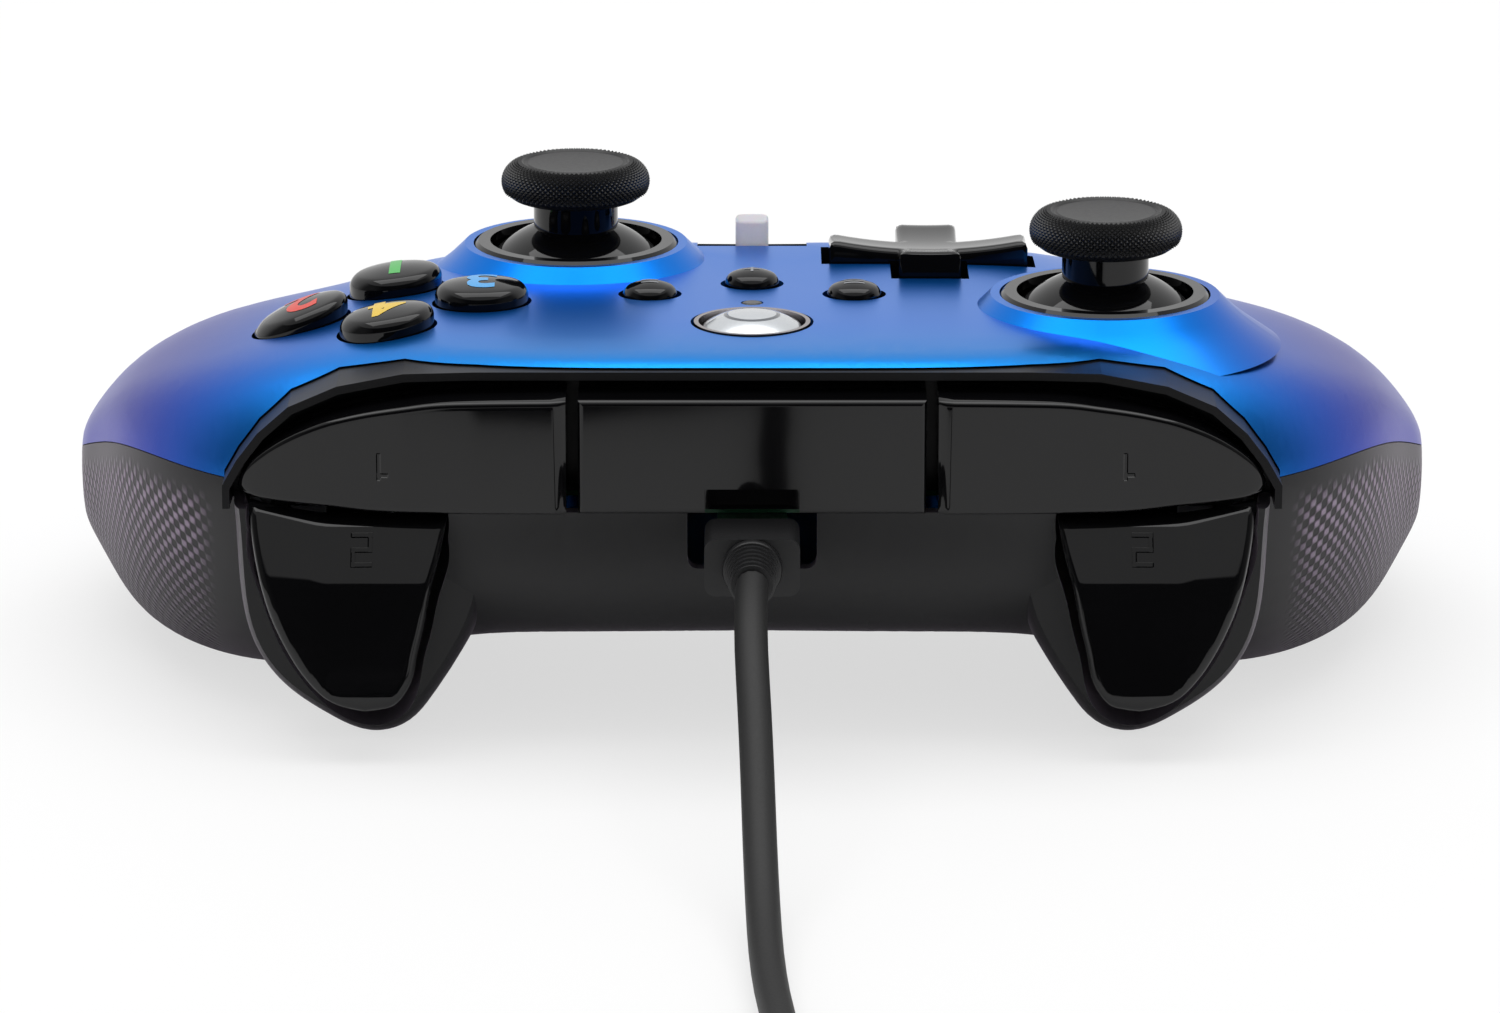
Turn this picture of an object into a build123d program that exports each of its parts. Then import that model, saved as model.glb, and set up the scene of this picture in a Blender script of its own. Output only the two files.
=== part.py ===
from build123d import *
import math
import os

# Gamepad controller with two offset thumb sticks and a plug-in lead.
# Millimetres. The pad rests on the plane z = 0. Its shoulder buttons and the lead
# face -Y, the player sits on the +Y side, so the player's left hand is at +X.

# Case
half_width = 76.4
case_wall = 1.9
inner_reach = 75.8
cover_gap = 0.12
notch_half_width = 7.0

# Stations across the case, as shares of the half width, and at each one the front,
# the rear, the underside and the crest of the case, and how much of it is grip.
station_shares = (0.0, 0.19, 0.36, 0.47, 0.57, 0.675, 0.78, 0.87, 0.94, 0.98, 1.0)
station_fronts = (-44.0, -44.0, -43.8, -43.3, -42.3, -40.0, -34.5, -26.0, -14.0, -5.0, 2.5)
station_rears = (26.0, 26.2, 29.5, 39.5, 48.5, 51.5, 50.5, 45.0, 34.0, 24.0, 13.5)
station_floors = (10.9, 10.8, 9.7, 6.2, 1.9, -0.3, -0.2, 1.5, 5.2, 9.2, 13.8)
station_crests = (42.6, 42.6, 42.5, 42.2, 41.2, 39.5, 36.9, 33.6, 29.4, 25.6, 21.0)
station_grip_shares = (0.0, 0.0, 0.16, 0.5, 0.85, 1.0, 1.0, 1.0, 1.0, 1.0, 1.0)

# Outline of a section as shares of its depth and height: the box-like middle, and a
# grip that droops towards the player.
middle_outline_shares = (
    (0.0, 0.49), (0.004, 0.83), (0.035, 0.958), (0.1, 0.995), (0.15, 1.0), (0.43, 0.997),
    (0.77, 0.979), (0.92, 0.933), (0.99, 0.8), (1.0, 0.555), (0.97, 0.25),
    (0.86, 0.08), (0.58, 0.015), (0.207, 0.0), (0.044, 0.05), (0.003, 0.22),
)
grip_outline_shares = (
    (0.0, 0.636), (0.011, 0.82), (0.062, 0.945), (0.146, 1.0), (0.22, 1.006), (0.37, 0.995),
    (0.595, 0.92), (0.775, 0.765), (0.92, 0.535), (1.0, 0.28), (0.983, 0.085),
    (0.91, 0.0), (0.708, 0.02), (0.45, 0.016), (0.2, 0.075), (0.05, 0.33),
)

# Seam between the covers, seen from the side as (y, z)
seam_side = (
    (-60.0, 28.0), (-44.0, 28.1), (-36.5, 28.0), (-27.0, 27.8), (-14.3, 26.0), (2.0, 21.2),
    (20.0, 15.8), (40.0, 11.8), (60.0, 8.6),
)

# Trigger housings under the case, one on each side: outline seen from the front, and
# how large it is at each depth, as (y, share)
lobe_outline = (
    (56.6, 27.4), (56.0, 18.0), (54.2, 9.4), (50.9, 4.9), (46.3, 1.6), (41.2, -0.4),
    (37.6, 0.5), (34.6, 3.7), (31.8, 8.0), (29.6, 12.2), (28.2, 17.0), (28.6, 23.0),
    (33.0, 29.0), (45.0, 31.0),
)
lobe_hub_x = 46.0
lobe_hub_z = 22.0
lobe_depth_shares = (
    (-42.4, 0.9), (-41.0, 0.95), (-38.0, 0.982), (-32.0, 0.99), (-22.0, 0.93), (-8.0, 0.7),
)
lobe_room_depth_shares = ((-40.4, 0.96), (-32.0, 0.98), (-22.0, 0.92), (-9.6, 0.7))
lobe_wall = 1.6

# Shoulder opening in the front of the case, seen from the front
arch_outline = (
    (20.0, 41.5), (30.0, 41.5), (37.6, 41.3), (44.8, 39.9), (50.1, 37.6), (53.5, 34.6),
    (55.8, 31.6), (57.4, 28.8),
)
arch_foot_z = 26.1
arch_depth_y = -33.2
shoulder_gap = 0.2

# Bumpers and the piece between them
bridge_half_width = 18.7
bridge_top_z = 39.1
bridge_foot_z = 26.5
bridge_front_y = -46.2
bridge_rear_y = -35.7
bridge_round = 0.6
bridge_recess_height = 2.8
bridge_recess_depth = 2.2
bumper_outline = (
    (20.0, 39.1), (32.0, 38.9), (37.4, 38.3), (42.7, 37.3), (46.9, 36.3), (50.8, 34.3),
    (53.7, 31.8), (55.2, 29.2), (54.7, 27.8), (52.6, 27.2), (45.5, 27.0), (40.1, 26.6),
    (29.3, 26.5), (20.0, 26.5),
)
bumper_front_plan = ((20.0, -46.6), (34.0, -46.4), (45.0, -45.0), (51.5, -42.6), (56.0, -38.6))
bumper_rear_y = -38.2
bumper_round = 0.6
bumper_hinge_x = 21.6
bumper_hinge_y = -39.6
bumper_pin_radius = 0.8
bumper_pin_top_z = 40.9
frame_plate_front_y = -35.6
frame_plate_rear_y = -33.4
frame_lip_front_y = -42.4
frame_lip_drop = 1.1
bumper_room = 0.5
frame_notch_half_width = 12.0
frame_notch_top_z = 27.4

# Triggers: top edge and rounded edge seen from the front, and the claw from the side
trigger_top = ((33.1, 25.5), (46.3, 25.6), (54.2, 26.9))
trigger_edge = (
    (53.9, 24.6), (52.7, 20.3), (50.9, 15.0), (48.1, 10.2), (45.2, 7.2), (41.8, 5.6),
    (38.7, 6.4), (37.1, 9.0), (36.6, 11.8), (35.7, 15.2), (34.9, 18.9), (33.9, 22.1),
)
trigger_face_side = (
    (-44.8, 27.0), (-47.4, 24.2), (-49.7, 20.8), (-51.1, 16.8), (-51.6, 12.4),
    (-50.4, 8.4), (-48.0, 5.4),
)
trigger_brow = (-43.4, 25.2)
trigger_back_side = ((-45.4, 6.6), (-46.8, 10.0), (-46.4, 14.0), (-43.4, 17.6), (-38.4, 19.2))
trigger_pin_y = -33.0
trigger_pin_z = 21.6
trigger_boss_radius = 2.7
trigger_pin_radius = 1.2
trigger_pin_fit = 0.05
trigger_ear = 1.6
trigger_boss_span = (36.0, 50.2)
trigger_neck_y = -41.0
trigger_drop = 3.2
trigger_cavity_rear_y = -29.6
trigger_ear_gap = 0.4
trigger_cavity_gap = 0.8
trigger_spring_inner_radius = 1.7
trigger_spring_wire = 0.6
trigger_spring_pitch = 0.75
trigger_spring_turns = 4
trigger_spring_x = 36.4
trigger_spring_gap = 0.45

# Thumb sticks: places, then heights above the pivot, which is the same on both
left_stick_xy = (39.1, -17.1)
right_stick_xy = (-20.1, 7.6)
stick_pivot_z = 33.5
stick_ring_outer_radius = 11.6
stick_ring_inner_radius = 9.8
stick_ring_top_z = 44.2
stick_ring_foot_z = 42.4
stick_ring_gap = 0.1
collar_top_z = 43.9
collar_top_radius = 12.7
collar_flare = ((13.5, 43.1), (14.9, 41.8), (17.0, 40.2), (19.6, 38.4))
stick_dome_radius = 13.2
stick_dome_wall = 1.0
stick_dome_angle = 60.0
stick_well_radius = 13.8
stick_neck_radius = 4.8
stick_cap_radius = 8.5
stick_cap_foot_z = 48.7
stick_cap_top_z = 53.4
stick_cap_disc_radius = 6.0
stick_cap_dish = 0.35
stick_post_radius = 2.0
stick_post_top_z = 50.6
stick_post_fit = 0.05
stick_ball_radius = 2.6
yoke_half_width = 5.2
yoke_hole_half_width = 3.1
yoke_height = 4.0
yoke_pin_radius = 1.0
yoke_pin_fit = 0.05
carriage_half_width = 7.5
carriage_hole_half_width = 5.8
carriage_foot_drop = 5.0
carriage_top_rise = 1.9
carriage_guide_gap = 0.3
housing_half_width = 9.2
housing_top_drop = 1.2

# Face buttons
face_cluster_xy = (-40.1, -15.0)
face_button_spacing = 10.05
face_button_radius = 5.2
face_button_tops = {"top": 44.4, "bottom": 44.2, "left": 45.0, "right": 42.4}
face_button_leans = {"top": 8.5, "bottom": 6.5, "left": 1.0, "right": 20.0}
face_button_dome = 0.8
face_button_foot_z = 30.6
face_button_gap = 0.35
face_flange_radius = 6.0
face_flange_height = 1.2
guide_foot_z = 35.6
guide_wall = 0.85
seat_gap = 0.05

# Direction pad
dpad_xy = (20.1, 8.9)
dpad_half_span = 11.3
dpad_arm_width = 7.0
dpad_gap = 0.9
dpad_tip_rise = 1.15
dpad_centre_z = 43.0
dpad_lean = 5.0
dpad_foot_z = 37.4
dpad_flange_radius = 8.8
dpad_pivot_z = 33.8
dpad_stem_radius = 2.0
dpad_ring_radius = 5.2
dpad_ring_hole = 2.9
dpad_ring_height = 3.0
dpad_pin_radius = 0.8
dpad_pin_fit = 0.05
dpad_cup_radius = 7.4
dpad_cup_hole = 5.8

# Small buttons, home button and light
small_button_places = ((11.4, -11.6), (-11.4, -11.6), (0.0, -6.0))
small_button_radius = 3.05
small_button_top_z = 44.0
small_button_dome = 0.9
small_button_gap = 0.5
small_flange_radius = 4.0
small_guide_foot_z = 37.6
home_xy = (0.0, -25.4)
home_radius = 5.5
home_ring_radius = 6.4
home_ring_wall = 0.5
home_hole_radius = 6.75
home_top_z = 44.0
home_dome = 1.75
home_ring_top_z = 42.8
light_xy = (0.0, -16.2)
light_radius = 1.2
light_top_z = 42.65

# Volume nub at the player's edge
nub_xy = (0.0, 17.0)
nub_half_width = 1.9
nub_half_depth = 1.9
nub_skirt_half_width = 3.9
nub_top_z = 44.55
nub_skirt_z = 39.0
nub_pivot_z = 35.2
nub_slot_half_width = 6.3
nub_slot_half_depth = 3.0
nub_pin_radius = 0.9
nub_pin_fit = 0.05

# Board, sockets, switches and motors
board_top_z = 26.2
board_thickness = 1.6
board_half_width = 50.0
board_front_y = -31.5
board_rear_y = 20.0
board_tongue_half_width = 8.0
board_tongue_y = -38.6
usb_axis_z = 23.1
usb_half_width = 3.8
usb_height = 2.9
usb_front_y = -42.6
usb_length = 5.4
usb_wall = 0.35
jack_bore_radius = 1.8
jack_body_half_width = 3.4
jack_length = 14.0
jack_recess = 0.4
bumper_switch_size = (6.0, 1.2, 4.0)
bumper_switch_x = 47.0
motor_radius = 7.0
motor_length = 13.0
motor_x = 57.5
motor_y = 22.0
motor_z = 12.4
motor_shaft_radius = 1.0
weight_radius = 8.4
weight_length = 6.0
weight_gap = 1.2
weight_fit = 0.05

# Case screws
screw_places = ((22.0, -27.0), (-22.0, -27.0), (30.5, 24.0), (-30.5, 24.0), (60.5, -3.0), (-60.5, -3.0))
screw_radius = 1.3
screw_head_radius = 2.4
screw_head_height = 1.6
screw_length = 12.0
screw_seat_z = 18.0
screw_head_gap = 0.3
screw_shank_gap = 0.2
boss_radius = 3.4
boss_split_z = 22.0

# Plug-in lead
lead_diameter = 3.5
plug_half_width = 5.1
plug_half_height = 3.15
plug_rear_y = -46.8
plug_front_y = -55.2
plug_tip_half_width = 3.3
plug_tip_half_height = 0.85
plug_tip_y = -38.6
plug_round = 1.2
boot_front_y = -62.0
boot_root_radius = 3.0
boot_tip_radius = 2.3
lead_route = (
    (0.0, -62.0, 23.1), (-0.3, -72.0, 22.2), (0.4, -88.0, 14.6), (0.9, -106.0, 4.6),
    (1.5, -126.0, 1.8), (3.1, -145.0, 2.2), (2.5, -163.0, 2.3), (3.2, -181.0, 2.2),
)
lead_landing_y = -199.0
tail_steps = ((0.3, -14.0, -0.9), (1.5, -31.0, -6.4), (1.2, -48.0, -10.2))
tail_length_y = 60.0
coil_turn_pitch = 4.0
coil_layer_rise = 4.1
coil_outer_radius = 30.63
coil_entry_y = -216.0
coil_x = 3.0
coil_half_turns = (10, 11, 10, 11)
coil_inset = 1.8
coil_side_step = 2.4
coil_wide_step = 5.8
coil_gap_wanted = 0.4
coil_checks_per_half_turn = 24
tie_wall = 0.8
tie_width = 9.0
tie_gap = 0.15
far_plug_half_width = 7.8
far_plug_half_height = 4.0
far_plug_length = 24.0
far_plug_round = 2.0
far_tip_half_width = 6.0
far_tip_half_height = 2.25
far_tip_length = 12.0
far_tip_wall = 0.4
far_boot_length = 9.0
far_boot_root_radius = 2.9

# Shared small sizes
run_share_of_arc = 0.45
cut_reach = 120.0
soft_edge = 0.4
mat_thickness = 0.8
mat_dome_radius = 2.6
mat_dome_height = 2.2

mirror_x = Plane.YZ


def mixed(first, second, share):
    return first + (second - first) * share


def moved_inwards(outline, inset):
    """Closed outline with each point moved square to its neighbours."""
    moved = []
    count = len(outline)
    for place, point in enumerate(outline):
        before = outline[place - 1]
        after = outline[(place + 1) % count]
        across = after[0] - before[0]
        upward = after[1] - before[1]
        run = math.hypot(across, upward)
        moved.append((point[0] + upward / run * inset, point[1] - across / run * inset))
    return moved


def section_points(index, inset):
    """Outline of the case at one station, moved inwards by the inset."""
    depth = station_rears[index] - station_fronts[index]
    height = station_crests[index] - station_floors[index]
    grip = station_grip_shares[index]
    outline = []
    for middle, end in zip(middle_outline_shares, grip_outline_shares):
        y = station_fronts[index] + depth * mixed(middle[0], end[0], grip)
        z = station_floors[index] + height * mixed(middle[1], end[1], grip)
        outline.append((y, z))
    return moved_inwards(outline, inset)


def section_face(x, outline):
    points = [(x, y, z) for y, z in outline]
    return Face(Wire([Edge.make_spline([Vector(*p) for p in points], periodic=True)]))


def case_solid(inset, reach, shares):
    """Smooth body of the case through the stations, the same on both sides."""
    wires = []
    for index, share in enumerate(shares):
        outline = section_points(index, inset)
        wires.append(section_face(share * reach, outline).outer_wire())
        if index > 0:
            wires.insert(0, section_face(-share * reach, outline).outer_wire())
    return Solid.make_loft(wires)


def lobe_face(y, share, inset):
    points = []
    for x, z in moved_inwards(lobe_outline, inset):
        points.append((mixed(lobe_hub_x, x, share), y, mixed(lobe_hub_z, z, share)))
    return Face(Wire([Edge.make_spline([Vector(*p) for p in points], periodic=True)]))


def lobe_solid(inset, depth_shares):
    faces = [lobe_face(y, share, inset) for y, share in depth_shares]
    return Solid.make_loft([face.outer_wire() for face in faces])


def block(x_span, y_span, z_span):
    size = Vector(x_span[1] - x_span[0], y_span[1] - y_span[0], z_span[1] - z_span[0])
    corner = Pos(x_span[0], y_span[0], z_span[0])
    return corner * Box(size.X, size.Y, size.Z, align=(Align.MIN, Align.MIN, Align.MIN))


def upright(place, foot, top, radius):
    """Cylinder standing between two heights."""
    stand = (Align.CENTER, Align.CENTER, Align.MIN)
    return Pos(place[0], place[1], foot) * Cylinder(radius, top - foot, align=stand)


def rod_x(x_span, y, z, radius):
    lie = (Align.CENTER, Align.CENTER, Align.MIN)
    return Pos(x_span[0], y, z) * Rot(Y=90) * Cylinder(radius, x_span[1] - x_span[0], align=lie)


def rod_y(x, y_span, z, radius):
    lie = (Align.CENTER, Align.CENTER, Align.MIN)
    return Pos(x, y_span[0], z) * Rot(X=-90) * Cylinder(radius, y_span[1] - y_span[0], align=lie)


def front_prism(outline, front_y, rear_y):
    """Outline seen from the front, as (x, z), made solid from front to rear."""
    corners = [(x, front_y, z) for x, z in outline]
    face = make_face(Polyline(*corners, close=True))
    return extrude(face, amount=rear_y - front_y, dir=(0, 1, 0))


def flipped(solid):
    return mirror(solid, about=mirror_x)


def both_sides(solid):
    return solid + flipped(solid)


def seam_half(above):
    """Everything above or below the curved seam between the covers."""
    lift = cover_gap / 2 if above else -cover_gap / 2
    far = cut_reach if above else -cut_reach
    line = [(-cut_reach, y, z + lift) for y, z in seam_side]
    first = (-cut_reach, seam_side[0][0], far)
    last = (-cut_reach, seam_side[-1][0], far)
    face = make_face([Spline(*line), Polyline(line[-1], last, first, line[0])])
    return extrude(face, amount=2 * cut_reach, dir=(1, 0, 0))


def arch_prism(gap, foot, front_y, rear_y):
    """Shoulder opening, drawn in by a gap, between a front and a rear."""
    side = []
    for place, point in enumerate(arch_outline):
        after = arch_outline[min(place + 1, len(arch_outline) - 1)]
        before = arch_outline[max(place - 1, 0)]
        run = math.hypot(after[0] - before[0], after[1] - before[1])
        x = point[0] + (after[1] - before[1]) / run * gap
        z = point[1] - (after[0] - before[0]) / run * gap
        side.append((x, z))
    outline = [(0, side[0][1])] + side + [(side[-1][0], foot), (0, foot)]
    return both_sides(front_prism(outline, front_y, rear_y))


def bored(place, foot, radius):
    return upright(place, foot, cut_reach, radius)


def guide_post(place, foot, radius, shell):
    """Tube or post hanging from the face of the front cover down to a flat foot."""
    return upright(place, foot, cut_reach / 2, radius) & shell


def stick_collar(place):
    """Raised mouth round a thumb stick, flaring down into the face."""
    rim = (collar_top_radius, 0, collar_top_z)
    flare = [rim] + [(r, 0, z) for r, z in collar_flare]
    low = collar_flare[-1]
    profile = make_face([
        Spline(*flare),
        Polyline((low[0], 0, low[1]), (0, 0, low[1]), (0, 0, collar_top_z), rim),
    ])
    return Pos(place[0], place[1], 0) * revolve(profile, axis=Axis.Z)


def stick_well(place):
    """Room for the ball-shaped skirt, and the seat of the ring above it."""
    ball = Pos(place[0], place[1], stick_pivot_z) * Sphere(stick_well_radius)
    seat = bored(place, stick_ring_foot_z, stick_ring_outer_radius + stick_ring_gap)
    return ball + seat


def face_button_places():
    x, y = face_cluster_xy
    step = face_button_spacing
    return {
        "top": (x, y - step), "bottom": (x, y + step),
        "left": (x + step, y), "right": (x - step, y),
    }


def dpad_cross(half_span, arm_width, foot, top):
    x, y = dpad_xy
    half = arm_width / 2
    across = block((x - half_span, x + half_span), (y - half, y + half), (foot, top))
    along = block((x - half, x + half), (y - half_span, y + half_span), (foot, top))
    return across + along


def screw_bosses(shell, foot, top):
    posts = [upright(place, foot, top, boss_radius) for place in screw_places]
    return [post & shell for post in posts]


def front_cover(body, hollow):
    shell = body
    for place in (left_stick_xy, right_stick_xy):
        shell = shell + stick_collar(place)
    cover = (shell - hollow) & seam_half(True)
    for post in screw_bosses(body, boss_split_z, cut_reach):
        cover = cover + post
    for place in face_button_places().values():
        radius = face_button_radius + face_button_gap + guide_wall
        cover = cover + guide_post(place, guide_foot_z, radius, body)
    for place in small_button_places:
        radius = small_button_radius + small_button_gap + guide_wall
        cover = cover + guide_post(place, small_guide_foot_z, radius, body)
    cover = cover + guide_post(home_xy, small_guide_foot_z, home_hole_radius + guide_wall, body)
    cover = cover - arch_prism(0, 0, -cut_reach, arch_depth_y)
    for place in (left_stick_xy, right_stick_xy):
        cover = cover - stick_well(place)
    for place in face_button_places().values():
        cover = cover - bored(place, 0, face_button_radius + face_button_gap)
    for place in small_button_places:
        cover = cover - bored(place, 0, small_button_radius + small_button_gap)
    cover = cover - bored(home_xy, 0, home_hole_radius)
    cover = cover - bored(light_xy, 0, light_radius + seat_gap)
    cover = cover - dpad_cross(
        dpad_half_span + dpad_gap, dpad_arm_width + 2 * dpad_gap, 0, cut_reach
    )
    cover = cover - block(
        (nub_xy[0] - nub_slot_half_width, nub_xy[0] + nub_slot_half_width),
        (nub_xy[1] - nub_slot_half_depth, nub_xy[1] + nub_slot_half_depth),
        (nub_pivot_z, cut_reach),
    )
    jack_radius = jack_body_half_width - jack_recess / 2
    jack_z = board_top_z + jack_body_half_width - jack_recess
    cover = cover - rod_y(0, (0, cut_reach), jack_z, jack_radius + seat_gap)
    for place in screw_places:
        cover = cover - upright(place, 0, screw_seat_z + screw_length, screw_radius + seat_gap)
    return cover


def trigger_prism(gap, rear_y):
    """Outline of a trigger, grown by a gap, made solid from far in front."""
    points = moved_inwards(trigger_top + trigger_edge, -gap)
    corners = [(x, -cut_reach, z) for x, z in points]
    top = corners[:len(trigger_top)]
    edge = corners[len(trigger_top) - 1:] + corners[:1]
    face = make_face([Polyline(*top), Spline(*edge)])
    return extrude(face, amount=cut_reach + rear_y, dir=(0, 1, 0))


def trigger_opening():
    """Hole that a trigger swings in: its outline with a gap, and lower down too."""
    hole = trigger_prism(trigger_cavity_gap, trigger_cavity_rear_y)
    floor = block((0, cut_reach), (-cut_reach, 0), (lobe_wall, arch_foot_z))
    return hole + (Pos(0, 0, -trigger_drop) * hole & floor)


def plug_notch():
    """U-shaped mouth in the front wall for the plug."""
    half = notch_half_width
    foot = usb_axis_z - plug_half_height - cover_gap
    mouth = block((-half, half), (-cut_reach, bridge_rear_y), (foot, arch_foot_z))
    edges = mouth.edges().filter_by(Axis.Y).group_by(Axis.Z)[0]
    return fillet(edges, plug_round)


def motor_cradle(shell):
    x_span = (motor_x - motor_radius + soft_edge, motor_x + motor_radius - soft_edge)
    y_span = (motor_y - motor_length / 4, motor_y + motor_length / 4)
    bed = block(x_span, y_span, (0, motor_z - motor_radius / 2)) & shell
    return bed - rod_y(motor_x, (0, cut_reach), motor_z, motor_radius + seat_gap)


def back_cover(body, hollow):
    lobe = lobe_solid(0, lobe_depth_shares)
    lobe_room = lobe_solid(lobe_wall, lobe_room_depth_shares)
    cover = body + both_sides(lobe) - hollow - both_sides(lobe_room)
    cover = cover & seam_half(False)
    for post in screw_bosses(body, 0, boss_split_z - cover_gap):
        cover = cover + (post & hollow)
    cover = cover + both_sides(motor_cradle(body))
    cover = cover - arch_prism(0, arch_foot_z, -cut_reach, arch_depth_y)
    cover = cover - both_sides(trigger_opening())
    cover = cover - plug_notch()
    for place in screw_places:
        cover = cover - upright(place, 0, screw_seat_z, screw_head_radius + screw_head_gap)
        cover = cover - upright(place, 0, boss_split_z, screw_radius + screw_shank_gap)
    cover = cover - block((-cut_reach, cut_reach), (-cut_reach, cut_reach), (-cut_reach, 0))
    return cover


def shoulder_bridge():
    x_span = (-bridge_half_width, bridge_half_width)
    piece = block(x_span, (bridge_front_y, bridge_rear_y), (bridge_foot_z, bridge_top_z))
    front = piece.faces().sort_by(Axis.Y)[0]
    recess = block(
        (-plug_half_width, plug_half_width), (-cut_reach, bridge_front_y + bridge_recess_depth),
        (0, bridge_foot_z + bridge_recess_height),
    )
    return fillet(front.edges(), bridge_round) - recess


def frame_ear(x_span):
    """Bracket behind the shoulder opening that holds one end of a trigger pin."""
    reach = trigger_boss_radius + trigger_pin_radius
    rear = board_front_y - carriage_guide_gap
    arm = block(x_span, (frame_plate_front_y, rear), (trigger_pin_z, frame_notch_top_z + reach))
    round_end = rod_x(x_span, trigger_pin_y, trigger_pin_z, trigger_boss_radius)
    return arm + round_end - rod_x(x_span, trigger_pin_y, trigger_pin_z, trigger_pin_radius)


def bumper_frame():
    plate = arch_prism(shoulder_gap, arch_foot_z + shoulder_gap, frame_plate_front_y, frame_plate_rear_y)
    lip = arch_prism(shoulder_gap, arch_foot_z, frame_lip_front_y, frame_plate_front_y)
    room = arch_prism(frame_lip_drop, 0, -cut_reach, frame_plate_front_y)
    room_outline = moved_inwards(bumper_outline, -bumper_room)
    grown = front_prism(room_outline, -cut_reach, frame_plate_front_y)
    frame = plate + (lip - room - both_sides(grown))
    notch = (-frame_notch_half_width, frame_notch_half_width)
    frame = frame - block(notch, (-cut_reach, cut_reach), (0, frame_notch_top_z))
    inner_ear = (
        trigger_boss_span[0] - trigger_ear_gap - trigger_ear, trigger_boss_span[0] - trigger_ear_gap
    )
    outer_ear = (
        trigger_boss_span[1] + trigger_ear_gap, trigger_boss_span[1] + trigger_ear_gap + trigger_ear
    )
    frame = frame + both_sides(frame_ear(inner_ear)) + both_sides(frame_ear(outer_ear))
    hole = bored((bumper_hinge_x, bumper_hinge_y), bridge_top_z, bumper_pin_radius + trigger_pin_fit)
    return frame - both_sides(hole)


def bumper():
    corners = [(x, -cut_reach, z) for x, z in bumper_outline]
    outline = make_face([Spline(*corners), Line(corners[-1], corners[0])])
    front = extrude(outline, amount=cut_reach + bumper_rear_y, dir=(0, 1, 0))
    plan = [(x, y, 0) for x, y in bumper_front_plan]
    inner = bumper_front_plan[0][0]
    outer = bumper_front_plan[-1][0]
    ends = Polyline(plan[-1], (outer, bumper_rear_y, 0), (inner, bumper_rear_y, 0), plan[0])
    sweep_in = extrude(make_face([Spline(*plan), ends]), amount=cut_reach, dir=(0, 0, 1))
    bar = front & sweep_in
    face = bar.faces().sort_by(Axis.Y)[0]
    bar = fillet(face.edges(), bumper_round)
    hinge = (bumper_hinge_x, bumper_hinge_y)
    pin = upright(hinge, bridge_top_z - bumper_round, bumper_pin_top_z, bumper_pin_radius)
    return bar + pin


def trigger():
    """Claw of one trigger with its boss, its pin bore and the slot of its spring."""
    boss = trigger_boss_radius
    over = (trigger_pin_y, trigger_pin_z + boss)
    under = (trigger_pin_y, trigger_pin_z - boss)
    face_curve = [(0, y, z) for y, z in trigger_face_side]
    back_curve = [(0, y, z) for y, z in trigger_back_side]
    side = make_face([
        Spline(*face_curve),
        Line(face_curve[-1], back_curve[0]),
        Spline(*back_curve),
        Polyline(back_curve[-1], (0, *under), (0, *over), (0, *trigger_brow), face_curve[0]),
    ])
    claw = extrude(side, amount=cut_reach, dir=(1, 0, 0)) & trigger_prism(0, 0)
    claw = claw + rod_x(trigger_boss_span, trigger_pin_y, trigger_pin_z, boss)
    behind = (trigger_neck_y, cut_reach)
    claw = claw - block((0, trigger_boss_span[0]), behind, (0, cut_reach))
    claw = claw - block((trigger_boss_span[1], cut_reach), behind, (0, cut_reach))
    slot_end = trigger_spring_x + trigger_spring_turns * trigger_spring_pitch + 2 * trigger_spring_gap
    slot_radius = trigger_boss_radius + 2 * trigger_spring_gap
    slot = rod_x((trigger_spring_x, slot_end), trigger_pin_y, trigger_pin_z, slot_radius)
    bore = rod_x((0, cut_reach), trigger_pin_y, trigger_pin_z, trigger_pin_radius + trigger_pin_fit)
    return claw - slot - bore


def trigger_pins():
    span = (
        trigger_boss_span[0] - trigger_ear_gap - trigger_ear,
        trigger_boss_span[1] + trigger_ear_gap + trigger_ear,
    )
    return both_sides(rod_x(span, trigger_pin_y, trigger_pin_z, trigger_pin_radius))


def trigger_springs():
    """Coil round each trigger pin, with one leg up to the frame."""
    wire = trigger_spring_wire / 2
    radius = trigger_spring_inner_radius + wire
    height = trigger_spring_turns * trigger_spring_pitch
    path = Helix(pitch=trigger_spring_pitch, height=height, radius=radius)
    section = Plane(origin=path @ 0, z_dir=path % 0) * Circle(wire)
    coil = sweep(section, path=path, is_frenet=True)
    start = Pos(trigger_spring_x + trigger_spring_gap, trigger_pin_y, trigger_pin_z)
    coil = start * Rot(Y=90) * coil
    return both_sides(coil)


def stick_ring(place):
    height = stick_ring_top_z - stick_ring_foot_z
    ring = upright(place, stick_ring_foot_z, stick_ring_top_z, stick_ring_outer_radius)
    ring = chamfer(ring.edges().sort_by(Axis.Z)[-1], height / 4)
    ring = ring - bored(place, 0, stick_ring_inner_radius)
    ring = ring - Pos(place[0], place[1], stick_pivot_z) * Sphere(stick_well_radius)
    return ring


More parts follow.
